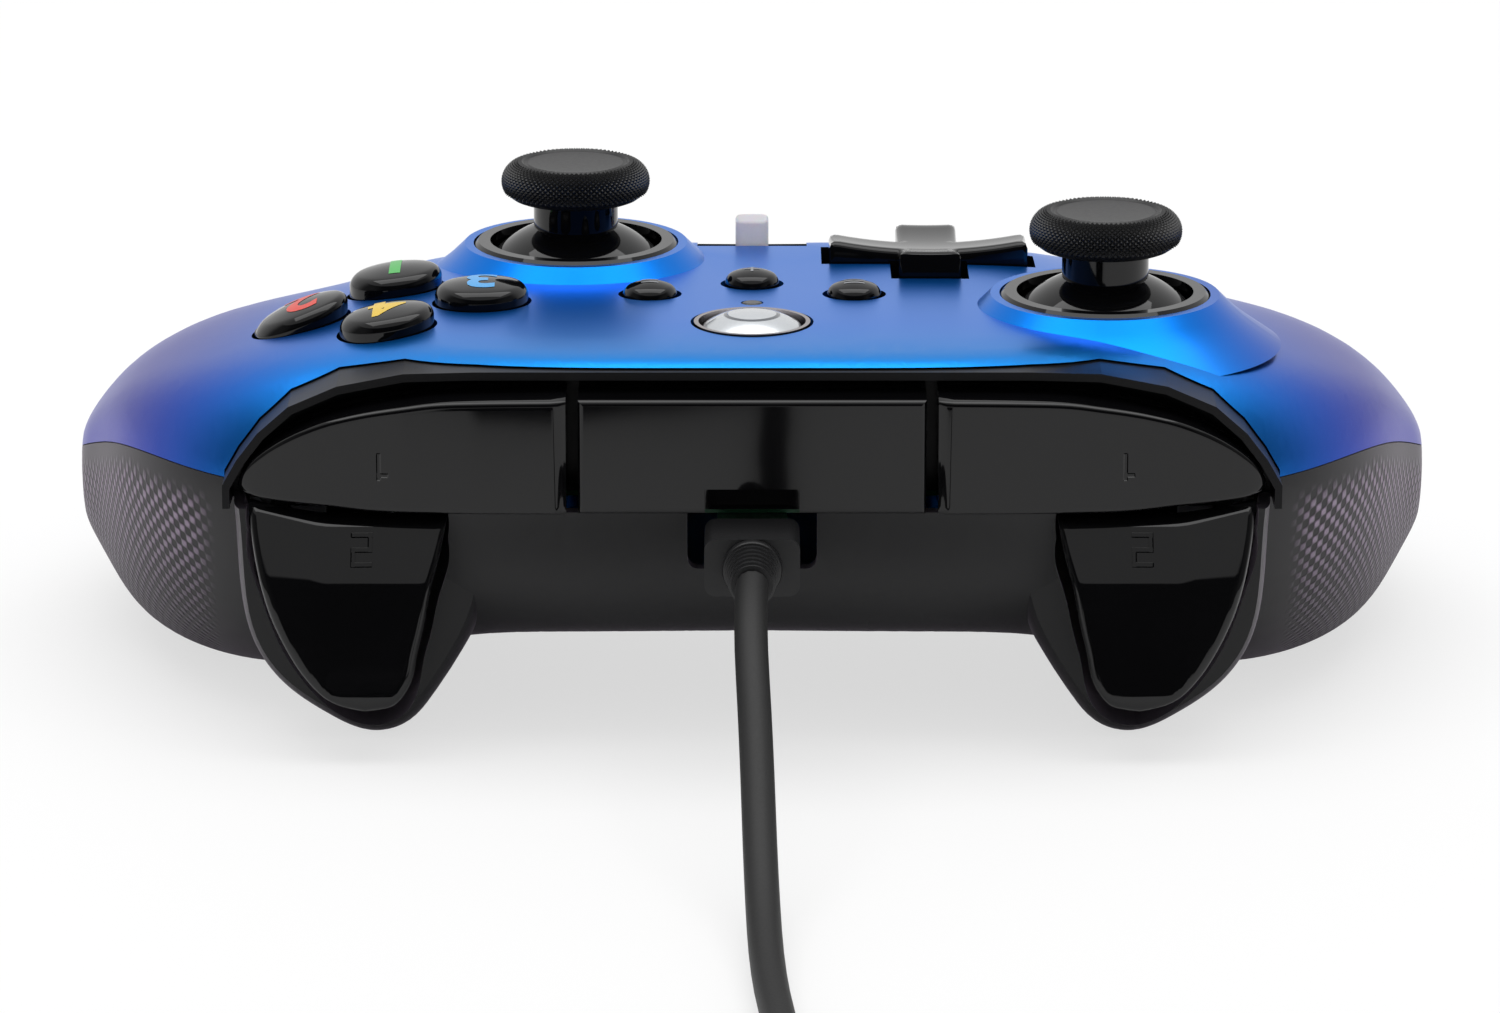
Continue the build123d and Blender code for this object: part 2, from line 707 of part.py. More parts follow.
def stick_cap(place):
    """Rubber thumb cap: a rolled rim round a slightly hollow disc, open underneath."""
    middle = mixed(stick_cap_foot_z, stick_cap_top_z, 0.5)
    disc = (stick_cap_disc_radius, 0, stick_cap_top_z)
    foot = (stick_neck_radius + soft_edge, 0, stick_cap_foot_z)
    profile = make_face([
        Spline(disc, (stick_cap_radius, 0, middle), foot, tangents=((1, 0, 0), (-1, 0, 0))),
        Polyline(foot, (0, 0, stick_cap_foot_z), (0, 0, stick_cap_top_z), disc),
    ])
    cap = revolve(profile, axis=Axis.Z)
    dish_radius = (stick_cap_disc_radius ** 2 + stick_cap_dish ** 2) / (2 * stick_cap_dish)
    cap = cap - Pos(0, 0, stick_cap_top_z - stick_cap_dish + dish_radius) * Sphere(dish_radius)
    plug_top = mixed(stick_cap_foot_z, stick_cap_top_z, 0.5)
    cap = cap - upright((0, 0), 0, plug_top, stick_neck_radius)
    return Pos(place[0], place[1], 0) * cap


def stick_stem(place):
    """Plastic neck and ball-shaped skirt of a stick, with the bore for its post."""
    reach = stick_dome_radius
    ball = Sphere(reach) - Sphere(reach - stick_dome_wall)
    low = reach * math.cos(math.radians(stick_dome_angle))
    ball = ball & upright((0, 0), low, cut_reach, cut_reach)
    neck_foot = reach - 2 * stick_dome_wall
    neck_top = mixed(stick_cap_foot_z, stick_cap_top_z, 0.5) - stick_pivot_z
    stem = ball + upright((0, 0), neck_foot, neck_top, stick_neck_radius)
    stem = stem - upright((0, 0), 0, stick_post_top_z - stick_pivot_z, stick_post_radius + stick_post_fit)
    return Pos(place[0], place[1], stick_pivot_z) * stem


def stick_post(place):
    """Shaft under a stick, with the cross pin that it tips sideways on."""
    top = stick_post_top_z - stick_pivot_z
    post = upright((0, 0), 0, top, stick_post_radius) + Sphere(stick_ball_radius)
    pin_end = yoke_half_width - yoke_pin_fit
    post = post + rod_y(0, (-pin_end, pin_end), 0, yoke_pin_radius)
    return Pos(place[0], place[1], stick_pivot_z) * post


def square(half, foot, top):
    return block((-half, half), (-half, half), (foot, top))


def stick_yoke(place):
    """Square ring round the post, tipping fore and aft on two side pins."""
    half = yoke_height / 2
    ring = square(yoke_half_width, -half, half) - square(yoke_hole_half_width, -half, half)
    ring = ring - rod_y(0, (-cut_reach, cut_reach), 0, yoke_pin_radius + yoke_pin_fit)
    pin_end = carriage_half_width - yoke_pin_fit
    pin_start = mixed(yoke_hole_half_width, yoke_half_width, 0.5)
    pin = rod_x((pin_start, pin_end), 0, 0, yoke_pin_radius)
    ring = ring + pin + flipped(pin)
    return Pos(place[0], place[1], stick_pivot_z) * ring


def stick_carriage(place):
    """Cradle of the yoke, which sinks when the stick is clicked."""
    frame = square(carriage_half_width, -carriage_foot_drop, carriage_top_rise)
    frame = frame - square(carriage_hole_half_width, -carriage_foot_drop + soft_edge * 2, carriage_top_rise)
    frame = frame - rod_x((-cut_reach, cut_reach), 0, 0, yoke_pin_radius + yoke_pin_fit)
    return Pos(place[0], place[1], stick_pivot_z) * frame


def stick_housing(place):
    """Open box on the board that guides the carriage, with its sensor on one side."""
    foot = board_top_z - stick_pivot_z
    room = carriage_half_width + carriage_guide_gap
    walls = square(housing_half_width, foot, -housing_top_drop) - square(room, foot, 0)
    base = square(room, foot, foot + soft_edge)
    return Pos(place[0], place[1], stick_pivot_z) * (walls + base)


def top_ring(solid):
    """Highest closed edge of a round piece."""
    return solid.edges().filter_by(lambda edge: edge.is_closed).sort_by(Axis.Z)[-1]


def domed_button(place, radius, top, dome, foot, flange, flange_top, lean=0):
    """Round cap with a shallow dome that may lean, a flange under the cover and a plunger."""
    cap = upright(place, flange_top - face_flange_height / 2, top + radius, radius)
    dome_radius = (radius ** 2 + dome ** 2) / (2 * dome)
    slope = math.radians(lean)
    centre_x = place[0] + dome_radius * math.sin(slope)
    cap = cap & Pos(centre_x, place[1], top - dome_radius * math.cos(slope)) * Sphere(dome_radius)
    cap = fillet(top_ring(cap), dome / 2)
    rim = upright(place, flange_top - face_flange_height, flange_top, flange)
    plunger = upright(place, foot, flange_top, radius / 2)
    return cap + rim + plunger


def face_button(side, place):
    return domed_button(
        place, face_button_radius, face_button_tops[side], face_button_dome,
        face_button_foot_z, face_flange_radius, guide_foot_z - seat_gap,
        face_button_leans[side],
    )


def small_button(place):
    return domed_button(
        place, small_button_radius, small_button_top_z, small_button_dome,
        face_button_foot_z, small_flange_radius, small_guide_foot_z - seat_gap,
    )


def home_button():
    flange = home_hole_radius + guide_wall / 2
    return domed_button(
        home_xy, home_radius, home_top_z, home_dome,
        face_button_foot_z, flange, small_guide_foot_z - soft_edge,
    )


def home_ring():
    """Bright ring round the home button, on a foot that fills the hole."""
    foot = upright(home_xy, small_guide_foot_z, small_guide_foot_z + guide_wall, home_hole_radius)
    ring = upright(home_xy, small_guide_foot_z, home_ring_top_z, home_ring_radius) + foot
    return ring - bored(home_xy, 0, home_ring_radius - home_ring_wall)


def status_light():
    pipe = upright(light_xy, board_top_z, light_top_z, light_radius)
    return fillet(top_ring(pipe), light_radius / 3)


def button_mat(places, radius):
    """Silicone sheet on the board with a dome under each button."""
    sheet = None
    for place in places:
        pad = upright(place, board_top_z, board_top_z + mat_thickness, radius)
        dome = upright(place, board_top_z, board_top_z + mat_thickness + mat_dome_height, mat_dome_radius)
        sheet = pad + dome if sheet is None else sheet + pad + dome
    return sheet


def face_mat():
    reach = face_button_spacing + face_flange_radius
    x, y = face_cluster_xy
    sheet = upright(face_cluster_xy, board_top_z, board_top_z + mat_thickness, reach)
    sheet = sheet & block(
        (x - reach, cut_reach), (board_front_y, cut_reach), (0, cut_reach)
    )
    edge = -board_half_width
    sheet = sheet & block((edge, cut_reach), (-cut_reach, cut_reach), (0, cut_reach))
    return sheet + button_mat(face_button_places().values(), mat_dome_radius)


def middle_mat():
    half = small_button_places[0][0] + mat_dome_radius
    sheet = block(
        (-half, half), (board_front_y, small_button_places[-1][1] + mat_dome_radius),
        (board_top_z, board_top_z + mat_thickness),
    )
    sheet = sheet - bored(light_xy, 0, light_radius + shoulder_gap)
    return sheet + button_mat(small_button_places + (home_xy,), mat_dome_radius)


def dpad_cap():
    """Cross with a hollowed top, a disc under the cover and a stem with its cross pin."""
    top = dpad_centre_z + 2 * dpad_tip_rise + soft_edge
    cross = dpad_cross(dpad_half_span, dpad_arm_width, dpad_foot_z, top)
    hollow_radius = (dpad_half_span ** 2 + dpad_tip_rise ** 2) / (2 * dpad_tip_rise)
    slope = math.radians(dpad_lean)
    scoop_y = dpad_xy[1] + hollow_radius * math.sin(slope)
    scoop_z = dpad_centre_z + hollow_radius * math.cos(slope)
    scoop = Pos(dpad_xy[0], scoop_y, scoop_z) * Sphere(hollow_radius)
    cross = fillet(cross.edges().filter_by(Axis.Z), soft_edge)
    cross = cross - scoop
    disc_top = dpad_foot_z - soft_edge / 2
    disc = upright(dpad_xy, disc_top - face_flange_height, dpad_foot_z, dpad_flange_radius)
    stem = upright(dpad_xy, dpad_pivot_z, dpad_foot_z, dpad_stem_radius)
    stem = stem + Pos(dpad_xy[0], dpad_xy[1], dpad_pivot_z) * Sphere(dpad_stem_radius)
    pin_end = dpad_ring_radius - dpad_pin_fit
    pin = rod_y(
        dpad_xy[0], (dpad_xy[1] - pin_end, dpad_xy[1] + pin_end), dpad_pivot_z, dpad_pin_radius
    )
    disc = disc & upright(dpad_xy, 0, disc_top, cut_reach)
    return cross + disc + stem + pin


def dpad_gimbal():
    half = dpad_ring_height / 2
    ring = upright((0, 0), -half, half, dpad_ring_radius) - upright((0, 0), -half, half, dpad_ring_hole)
    ring = ring - rod_y(0, (-cut_reach, cut_reach), 0, dpad_pin_radius + dpad_pin_fit)
    start = mixed(dpad_ring_hole, dpad_ring_radius, 0.5)
    pin = rod_x((start, dpad_cup_radius - dpad_pin_fit), 0, 0, dpad_pin_radius)
    ring = ring + pin + flipped(pin)
    return Pos(dpad_xy[0], dpad_xy[1], dpad_pivot_z) * ring


def dpad_cup():
    top = dpad_pivot_z + dpad_pin_radius + shoulder_gap
    cup = upright(dpad_xy, board_top_z, top, dpad_cup_radius)
    cup = cup - bored(dpad_xy, board_top_z + mat_thickness, dpad_cup_hole)
    reach = (dpad_xy[0] - cut_reach, dpad_xy[0] + cut_reach)
    return cup - rod_x(reach, dpad_xy[1], dpad_pivot_z, dpad_pin_radius + dpad_pin_fit)


def nub_block(half_width, half_depth, foot, top):
    x, y = nub_xy
    return block((x - half_width, x + half_width), (y - half_depth, y + half_depth), (foot, top))


def volume_nub():
    """Frosted post with a skirt, rocking sideways on a pin along the case."""
    post = nub_block(nub_half_width, nub_half_depth, nub_skirt_z, nub_top_z)
    post = fillet(post.edges().filter_by(Axis.Z), nub_half_width / 2)
    post = fillet(post.faces().sort_by(Axis.Z)[-1].edges(), soft_edge)
    skirt = nub_block(nub_skirt_half_width, nub_half_depth, nub_skirt_z - mat_thickness, nub_skirt_z)
    stem = nub_block(nub_half_width, nub_half_depth - soft_edge, nub_pivot_z, nub_skirt_z)
    knuckle = rod_y(
        nub_xy[0], (nub_xy[1] - nub_half_depth + soft_edge, nub_xy[1] + nub_half_depth - soft_edge),
        nub_pivot_z, nub_half_width,
    )
    reach = nub_half_depth + mat_thickness
    pin = rod_y(nub_xy[0], (nub_xy[1] - reach, nub_xy[1] + reach), nub_pivot_z, nub_pin_radius)
    return post + skirt + stem + knuckle + pin


def nub_holder():
    """Two cheeks on top of the headphone socket that carry the nub's pin."""
    foot = board_top_z + 2 * (jack_body_half_width - jack_recess)
    cheek = nub_half_depth + mat_thickness + soft_edge
    top = nub_pivot_z + nub_pin_radius + soft_edge
    holder = nub_block(nub_half_width, cheek, foot, top)
    gap = nub_half_depth
    holder = holder - nub_block(cut_reach, gap, foot + soft_edge, cut_reach)
    bore = nub_pin_radius + nub_pin_fit
    return holder - rod_y(nub_xy[0], (-cut_reach, cut_reach), nub_pivot_z, bore)


def main_board():
    foot = board_top_z - board_thickness
    board = block(
        (-board_half_width, board_half_width), (board_front_y, board_rear_y), (foot, board_top_z)
    )
    tongue = (-board_tongue_half_width, board_tongue_half_width)
    board = board + block(tongue, (board_tongue_y, board_front_y), (foot, board_top_z))
    for place in screw_places:
        board = board - bored(place, 0, boss_radius + shoulder_gap)
    return board


def usb_socket():
    half = usb_half_width
    top = usb_axis_z + usb_height / 2
    foot = usb_axis_z - usb_height / 2
    y_span = (usb_front_y, usb_front_y + usb_length)
    shell = block((-half, half), y_span, (foot, top))
    room = block(
        (-half + usb_wall, half - usb_wall), (-cut_reach, usb_front_y + usb_length - usb_wall),
        (foot + usb_wall, top - usb_wall),
    )
    return shell - room


def headphone_socket():
    half = jack_body_half_width
    axis_z = board_top_z + half - jack_recess
    rear = station_rears[0] - jack_recess
    x_span = (-half, half)
    wall_y = rear - 2 * case_wall
    body = block(x_span, (rear - jack_length, wall_y), (board_top_z, axis_z + half - jack_recess))
    nose = rod_y(0, (wall_y, rear), axis_z, half - jack_recess)
    return body + nose - rod_y(0, (rear - jack_length + usb_wall, cut_reach), axis_z, jack_bore_radius)


def bumper_switches():
    wide, deep, tall = bumper_switch_size
    middle_z = mixed(arch_foot_z, bridge_top_z, 0.4)
    switch = block(
        (bumper_switch_x - wide / 2, bumper_switch_x + wide / 2),
        (frame_plate_front_y - deep, frame_plate_front_y),
        (middle_z - tall / 2, middle_z + tall / 2),
    )
    return both_sides(switch)


def rumble_motors():
    half = motor_length / 2
    can = rod_y(motor_x, (motor_y - half, motor_y + half), motor_z, motor_radius)
    shaft_end = motor_y - half - weight_gap - weight_length
    shaft = rod_y(motor_x, (shaft_end, motor_y - half), motor_z, motor_shaft_radius)
    return both_sides(can + shaft)


def rumble_weight():
    """Half-round weight on a motor shaft, heavy side down."""
    rear = motor_y - motor_length / 2 - weight_gap
    span = (rear - weight_length, rear)
    disc = rod_y(motor_x, span, motor_z, weight_radius)
    lower = block((0, cut_reach), span, (0, motor_z))
    hub = rod_y(motor_x, span, motor_z, motor_shaft_radius * 2)
    bore = rod_y(motor_x, span, motor_z, motor_shaft_radius + weight_fit)
    return (disc & lower) + hub - bore


def case_screws():
    group = None
    for place in screw_places:
        shank = upright(place, screw_seat_z, screw_seat_z + screw_length, screw_radius)
        head = upright(place, screw_seat_z - screw_head_height, screw_seat_z, screw_head_radius)
        group = shank + head if group is None else group + shank + head
    return group


def arc_radii(route):
    """Largest arc radius at each corner that its two runs leave room for."""
    radii = []
    for before, corner, after in zip(route, route[1:], route[2:]):
        first = Vector(*corner) - Vector(*before)
        second = Vector(*after) - Vector(*corner)
        half_turn = math.radians(first.get_angle(second)) / 2
        shorter = min(first.length, second.length)
        radii.append(run_share_of_arc * shorter / math.tan(half_turn))
    return radii


def tube(path, radius):
    section = Plane(origin=path @ 0, z_dir=path % 0) * Circle(radius)
    return sweep(section, path=path)


def cord_tube(name, route):
    """Free stretch of the lead, with its radii and its volume against its length."""
    radii = arc_radii(route)
    path = FilletPolyline(*route, radius=radii)
    solid = tube(path, lead_diameter / 2)
    share = solid.volume / (math.pi * (lead_diameter / 2) ** 2 * path.length)
    print(name, "length", round(path.length, 1), "radii", [round(r, 1) for r in radii])
    print(name, "volume against section times length", round(share, 4))
    return solid


def coil_radii():
    """Distance of each half turn's start from the middle, and its layer."""
    pitch = coil_turn_pitch / 2
    steps = [(coil_outer_radius - turn * pitch, 0) for turn in range(coil_half_turns[0] + 1)]
    outward = 1
    for layer, turns in enumerate(coil_half_turns[1:], start=1):
        last = steps[-1][0]
        first = last - outward * coil_inset
        second = last + outward * coil_side_step
        radii = [first, second, first + outward * coil_wide_step]
        while len(radii) < turns:
            radii.append(radii[-2] + outward * coil_turn_pitch)
        steps.extend((radius, layer) for radius in radii[:turns])
        outward = -outward
    return steps


def coil_points():
    """Ends of the half turns, on alternate sides of the coil's middle."""
    middle_x = coil_x - coil_outer_radius
    foot = tie_wall + tie_gap + lead_diameter / 2
    points = []
    side = 1
    for radius, layer in coil_radii():
        points.append((middle_x + side * radius, coil_entry_y, foot + layer * coil_layer_rise))
        side = -side
    return points


def coil_least_gap(points):
    """Least free distance between turns, measured on points along the half turns."""
    places = []
    run = 0.0
    heading = -1
    for start, end in zip(points, points[1:]):
        middle = (Vector(*start) + Vector(*end)) / 2
        arm = (Vector(*start) - Vector(*end)) / 2
        for step in range(coil_checks_per_half_turn):
            angle = math.pi * step / coil_checks_per_half_turn
            across = Vector(0, heading * arm.length * math.sin(angle), 0)
            places.append((middle + arm * math.cos(angle) + across, run + arm.length * angle))
        run += math.pi * arm.length
        heading = -heading
    least = cut_reach
    for index, (place, along) in enumerate(places):
        for other, beyond in places[index + 1:]:
            if beyond - along > 4 * lead_diameter:
                least = min(least, (place - other).length)
    return least - lead_diameter, run


def lead_coil():
    """Put-away length of the lead: piled loops from the outer turn in and out again."""
    points = coil_points()
    gap, run = coil_least_gap(points)
    print("coil length", round(run + 2 * lead_diameter, 1), "least gap", round(gap, 3))
    start = points[0]
    end = points[-1]
    entry = (start[0], start[1] + lead_diameter, start[2])
    leave = (end[0], end[1] - lead_diameter, end[2])
    edges = [Line(entry, start)]
    heading = -1
    for first, second in zip(points, points[1:]):
        edges.append(TangentArc(first, second, tangent=(0, heading, 0)))
        heading = -heading
    edges.append(Line(end, leave))
    return tube(Wire([edge.edge() for edge in edges]), lead_diameter / 2)


def lead_front():
    start = coil_points()[0]
    landing = (coil_x, lead_landing_y, start[2])
    end = (start[0], start[1] + lead_diameter, start[2])
    return cord_tube("lead_front", lead_route + (landing, end))


def tail_route():
    end = coil_points()[-1]
    start = (end[0], end[1] - lead_diameter, end[2])
    route = [start]
    for step in tail_steps:
        route.append((start[0] + step[0], start[1] + step[1], start[2] + step[2]))
    last_x = route[-1][0]
    route.append((last_x, start[1] - tail_length_y, far_plug_half_height))
    return route


def lead_tie():
    """Strap round the piled loops on their far side."""
    radii = [radius for radius, layer in coil_radii()]
    reach = lead_diameter / 2
    half = tie_width / 2
    outer = max(radii) + reach + tie_gap
    inner = math.sqrt((min(radii) - reach - coil_gap_wanted) ** 2 - half ** 2) - tie_gap
    middle_x = coil_x - coil_outer_radius
    layers = len(coil_half_turns) - 1
    top = tie_wall + lead_diameter + layers * coil_layer_rise + 2 * tie_gap
    x_span = (middle_x - half, middle_x + half)
    near = coil_entry_y - inner
    far = coil_entry_y - outer
    strap = block(x_span, (far - tie_wall, near + tie_wall), (0, top + tie_wall))
    strap = fillet(strap.edges().filter_by(Axis.X), tie_wall + tie_gap)
    return strap - block((x_span[0], x_span[1]), (far, near), (tie_wall, top))


def plug_grip():
    z_span = (usb_axis_z - plug_half_height, usb_axis_z + plug_half_height)
    grip = block((-plug_half_width, plug_half_width), (plug_front_y, plug_rear_y), z_span)
    return fillet(grip.edges().filter_by(Axis.Y), plug_round)


def plug_tip():
    z_span = (usb_axis_z - plug_tip_half_height, usb_axis_z + plug_tip_half_height)
    return block((-plug_tip_half_width, plug_tip_half_width), (plug_rear_y, plug_tip_y), z_span)


def tapered_boot(x, z, y_span, root_radius, root_first):
    length = y_span[1] - y_span[0]
    radii = (boot_tip_radius, root_radius) if not root_first else (root_radius, boot_tip_radius)
    lie = (Align.CENTER, Align.CENTER, Align.MIN)
    return Pos(x, y_span[0], z) * Rot(X=-90) * Cone(radii[0], radii[1], length, align=lie)


def plug_boot():
    return tapered_boot(0, usb_axis_z, (boot_front_y, plug_front_y), boot_root_radius, False)


def far_plug_grip():
    """Grip and boot of the wide plug at the far end of the lead."""
    x, y, z = tail_route()[-1]
    boot_end = y - far_boot_length
    boot = tapered_boot(x, z, (boot_end, y), far_boot_root_radius, True)
    grip = block(
        (x - far_plug_half_width, x + far_plug_half_width), (boot_end - far_plug_length, boot_end),
        (z - far_plug_half_height, z + far_plug_half_height),
    )
    return fillet(grip.edges().filter_by(Axis.Y), far_plug_round) + boot


def far_plug_tip():
    x, y, z = tail_route()[-1]
    rear = y - far_boot_length - far_plug_length
    y_span = (rear - far_tip_length, rear)
    half = far_tip_half_width
    tall = far_tip_half_height
    shell = block((x - half, x + half), y_span, (z - tall, z + tall))
    room = block(
        (x - half + far_tip_wall, x + half - far_tip_wall), (y_span[0], rear - far_tip_wall),
        (z, z + tall - far_tip_wall),
    )
    return shell - room


def pad_pieces():
    body = case_solid(0, half_width, station_shares)
    hollow = case_solid(case_wall, inner_reach, station_shares[:-1])
    left_bumper = bumper()
    left_trigger = trigger()
    left_weight = rumble_weight()
    pieces = {
        "front_cover": front_cover(body, hollow), "back_cover": back_cover(body, hollow),
        "shoulder_bridge": shoulder_bridge(), "bumper_frame": bumper_frame(),
        "left_bumper": left_bumper, "right_bumper": flipped(left_bumper),
        "left_trigger": left_trigger, "right_trigger": flipped(left_trigger),
        "trigger_pins": trigger_pins(), "trigger_springs": trigger_springs(),
        "bumper_switches": bumper_switches(), "main_board": main_board(),
        "usb_socket": usb_socket(), "headphone_socket": headphone_socket(),
        "rumble_motors": rumble_motors(), "left_rumble_weight": left_weight,
        "right_rumble_weight": flipped(left_weight), "case_screws": case_screws(),
        "face_button_mat": face_mat(), "middle_button_mat": middle_mat(),
        "home_button": home_button(), "home_ring": home_ring(), "status_light": status_light(),
        "dpad_cap": dpad_cap(), "dpad_gimbal": dpad_gimbal(), "dpad_cup": dpad_cup(),
        "volume_nub": volume_nub(), "volume_nub_holder": nub_holder(),
    }
    for side, place in (("left", left_stick_xy), ("right", right_stick_xy)):
        makers = (stick_ring, stick_cap, stick_stem, stick_post, stick_yoke, stick_carriage, stick_housing)
        for maker in makers:
            pieces[side + "_" + maker.__name__] = maker(place)
    for name, place in face_button_places().items():
        pieces["face_button_" + name] = face_button(name, place)
    for name, place in zip(("left", "right", "middle"), small_button_places):
        pieces["small_button_" + name] = small_button(place)
    return pieces


def lead_pieces():
    return {
        "plug_grip": plug_grip(), "plug_tip": plug_tip(), "plug_boot": plug_boot(),
        "lead_front": lead_front(), "lead_coil": lead_coil(),
        "lead_tail": cord_tube("lead_tail", tail_route()), "lead_tie": lead_tie(),
        "far_plug_grip": far_plug_grip(), "far_plug_tip": far_plug_tip(),
    }


os.makedirs("parts", exist_ok=True)
for piece_name, piece in {**pad_pieces(), **lead_pieces()}.items():
    export_step(Part() + piece.solids(), os.path.join("parts", piece_name + ".step"))
print("pieces written")
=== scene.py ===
"""Gamepad controller with a plug-in lead: finishes, detailed pieces, lead and stage."""
import math

import bmesh
import bpy
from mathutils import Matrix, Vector


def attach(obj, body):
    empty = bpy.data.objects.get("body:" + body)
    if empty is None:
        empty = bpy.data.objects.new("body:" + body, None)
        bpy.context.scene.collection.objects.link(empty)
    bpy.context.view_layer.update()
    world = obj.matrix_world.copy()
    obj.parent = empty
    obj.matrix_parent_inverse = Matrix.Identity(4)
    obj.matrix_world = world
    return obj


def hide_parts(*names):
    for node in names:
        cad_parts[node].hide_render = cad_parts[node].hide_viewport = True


bl_info = {
    "name": "Gamepad Controller",
    "version": (1, 0, 0),
    "blender": (4, 5, 0),
    "location": "3D View > Sidebar > Gamepad",
    "description": "Dresses a gamepad's frame with its finishes, its detailed pieces and its lead",
    "category": "Object",
}

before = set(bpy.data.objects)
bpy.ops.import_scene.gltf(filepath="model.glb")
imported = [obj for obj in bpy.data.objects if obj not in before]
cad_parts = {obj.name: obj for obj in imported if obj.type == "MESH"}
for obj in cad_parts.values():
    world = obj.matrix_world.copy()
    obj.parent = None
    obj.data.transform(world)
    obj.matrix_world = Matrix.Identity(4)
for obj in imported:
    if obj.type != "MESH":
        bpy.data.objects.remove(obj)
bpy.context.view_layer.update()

MM = 0.001


def linear(code):
    """Scene colour of a six-digit colour code."""
    parts = [int(code[place:place + 2], 16) / 255 for place in (0, 2, 4)]
    return tuple(((part + 0.055) / 1.055) ** 2.4 if part > 0.04 else part / 12.92 for part in parts)


# ------------------------ settings

def colour(title, note, code):
    """Setting for a colour, whose default is a six-digit code."""
    return bpy.props.FloatVectorProperty(
        name=title, description=note, default=linear(code), subtype="COLOR", size=3, min=0, max=1)


def length(title, note, millimetres):
    """Setting for a length, whose default is in millimetres."""
    return bpy.props.FloatProperty(
        name=title, description=note, default=millimetres * MM, unit="LENGTH", min=0)


class PadFinishes(bpy.types.PropertyGroup):
    """Colours and surface of the pad"""

    cover: colour("Cover", "Pearl paint in the middle of the front cover", "0078E0")
    # Painted highlight: the brighter cyan where the overhead light catches the pearl on the front crest.
    cover_crest_highlight: colour("Cover crest", "Pearl paint on the crest at the shoulders", "0086DC")
    # Painted sheen: the violet that the pearl shows at grazing angles towards the wings.
    cover_wing_sheen: colour("Cover wings", "Pearl paint towards the outer ends of the cover", "2A2AA0")
    black: colour("Gloss black", "Bumpers, triggers, bridge and buttons", "060607")
    satin: colour("Satin black", "Back cover and its grips", "0C0C0E")
    # Painted highlight: the light on the diamonds' points high on the grips, not wear.
    grip_highlight: colour("Grip points", "Points of the diamonds high on the grips", "8C7C90")
    home: colour("Home button", "Domed button in the middle", "D4D8DC")
    nub: colour("Volume nub", "Frosted nub at the player's edge", "F4F2F6")
    grip_pitch: length("Grip pitch", "Distance between the diamonds on the grips", 1.35)
    grip_depth: length("Grip depth", "Height of the diamonds on the grips", 0.22)


class LeadSizes(bpy.types.PropertyGroup):
    """Sizes of the lead"""

    length: length("Length", "Real length of the lead between its plugs", 3000.0)
    diameter: length("Diameter", "Thickness of the lead", 3.5)


class StageSettings(bpy.types.PropertyGroup):
    """Floor, light and camera"""

    floor: colour("Floor", "Pale table top", "F4F4F4")
    top_light: bpy.props.FloatProperty(
        name="Top light", description="Power of the soft light overhead", default=9.0, min=0, unit="POWER")
    camera_distance: length("Camera distance", "From the middle of the pad", 800.0)
    camera_height: bpy.props.FloatProperty(
        name="Camera angle", description="Camera's height above the table as an angle",
        default=math.radians(15.5), subtype="ANGLE")
    aim_height: length("Aim height", "Height of the point that the camera looks at", 14.6)
    focal_length: bpy.props.FloatProperty(
        name="Focal length", description="Camera lens", default=168.0, unit="CAMERA")


# ------------------------ nodes

class Level:
    """A value that changes over a surface, and that takes part in sums."""

    def __init__(self, nodes, socket):
        self.nodes = nodes
        self.socket = socket

    def maths(self, operation, *values):
        return self.nodes.add("ShaderNodeMath", {"operation": operation}, dict(enumerate(values)))

    def __add__(self, other):
        return self.maths("ADD", self, other)

    __radd__ = __add__

    def __sub__(self, other):
        return self.maths("SUBTRACT", self, other)

    def __rsub__(self, other):
        return self.maths("SUBTRACT", other, self)

    def __mul__(self, other):
        return self.maths("MULTIPLY", self, other)

    __rmul__ = __mul__

    def __pow__(self, other):
        return self.maths("POWER", self, other)

    def __abs__(self):
        return self.maths("ABSOLUTE", self)

    def sine(self):
        return self.maths("SINE", self)

    def at_least(self, other):
        return self.maths("MAXIMUM", self, other)

    def angle_over(self, other):
        """Angle whose rise is this value and whose run is the other."""
        return self.maths("ARCTAN2", self, other)

    def clamped(self):
        """The same value, kept between 0 and 1."""
        return self.nodes.add("ShaderNodeClamp", {}, {"Value": self})

    def ramp(self, low, high):
        """0 below low and 1 above high, eased in between."""
        return self.nodes.add(
            "ShaderNodeMapRange", {"interpolation_type": "SMOOTHSTEP"},
            {"Value": self, "From Min": low, "From Max": high})


class Nodes:
    """The nodes of a material or of the world."""

    def __init__(self, tree):
        self.tree = tree

    def add(self, kind, settings, values, output=0):
        """Adds a node with its settings and inputs, and gives one of its outputs."""
        made = self.tree.nodes.new(kind)
        for name, setting in settings.items():
            setattr(made, name, setting)
        for name, value in values.items():
            if isinstance(value, Level):
                self.tree.links.new(value.socket, made.inputs[name])
            else:
                made.inputs[name].default_value = value
        return Level(self, made.outputs[output])

    def parts(self, vector):
        """The three parts of a vector."""
        cut = self.add("ShaderNodeSeparateXYZ", {}, {0: vector})
        outputs = cut.socket.node.outputs
        return tuple(Level(self, outputs[axis]) for axis in "XYZ")


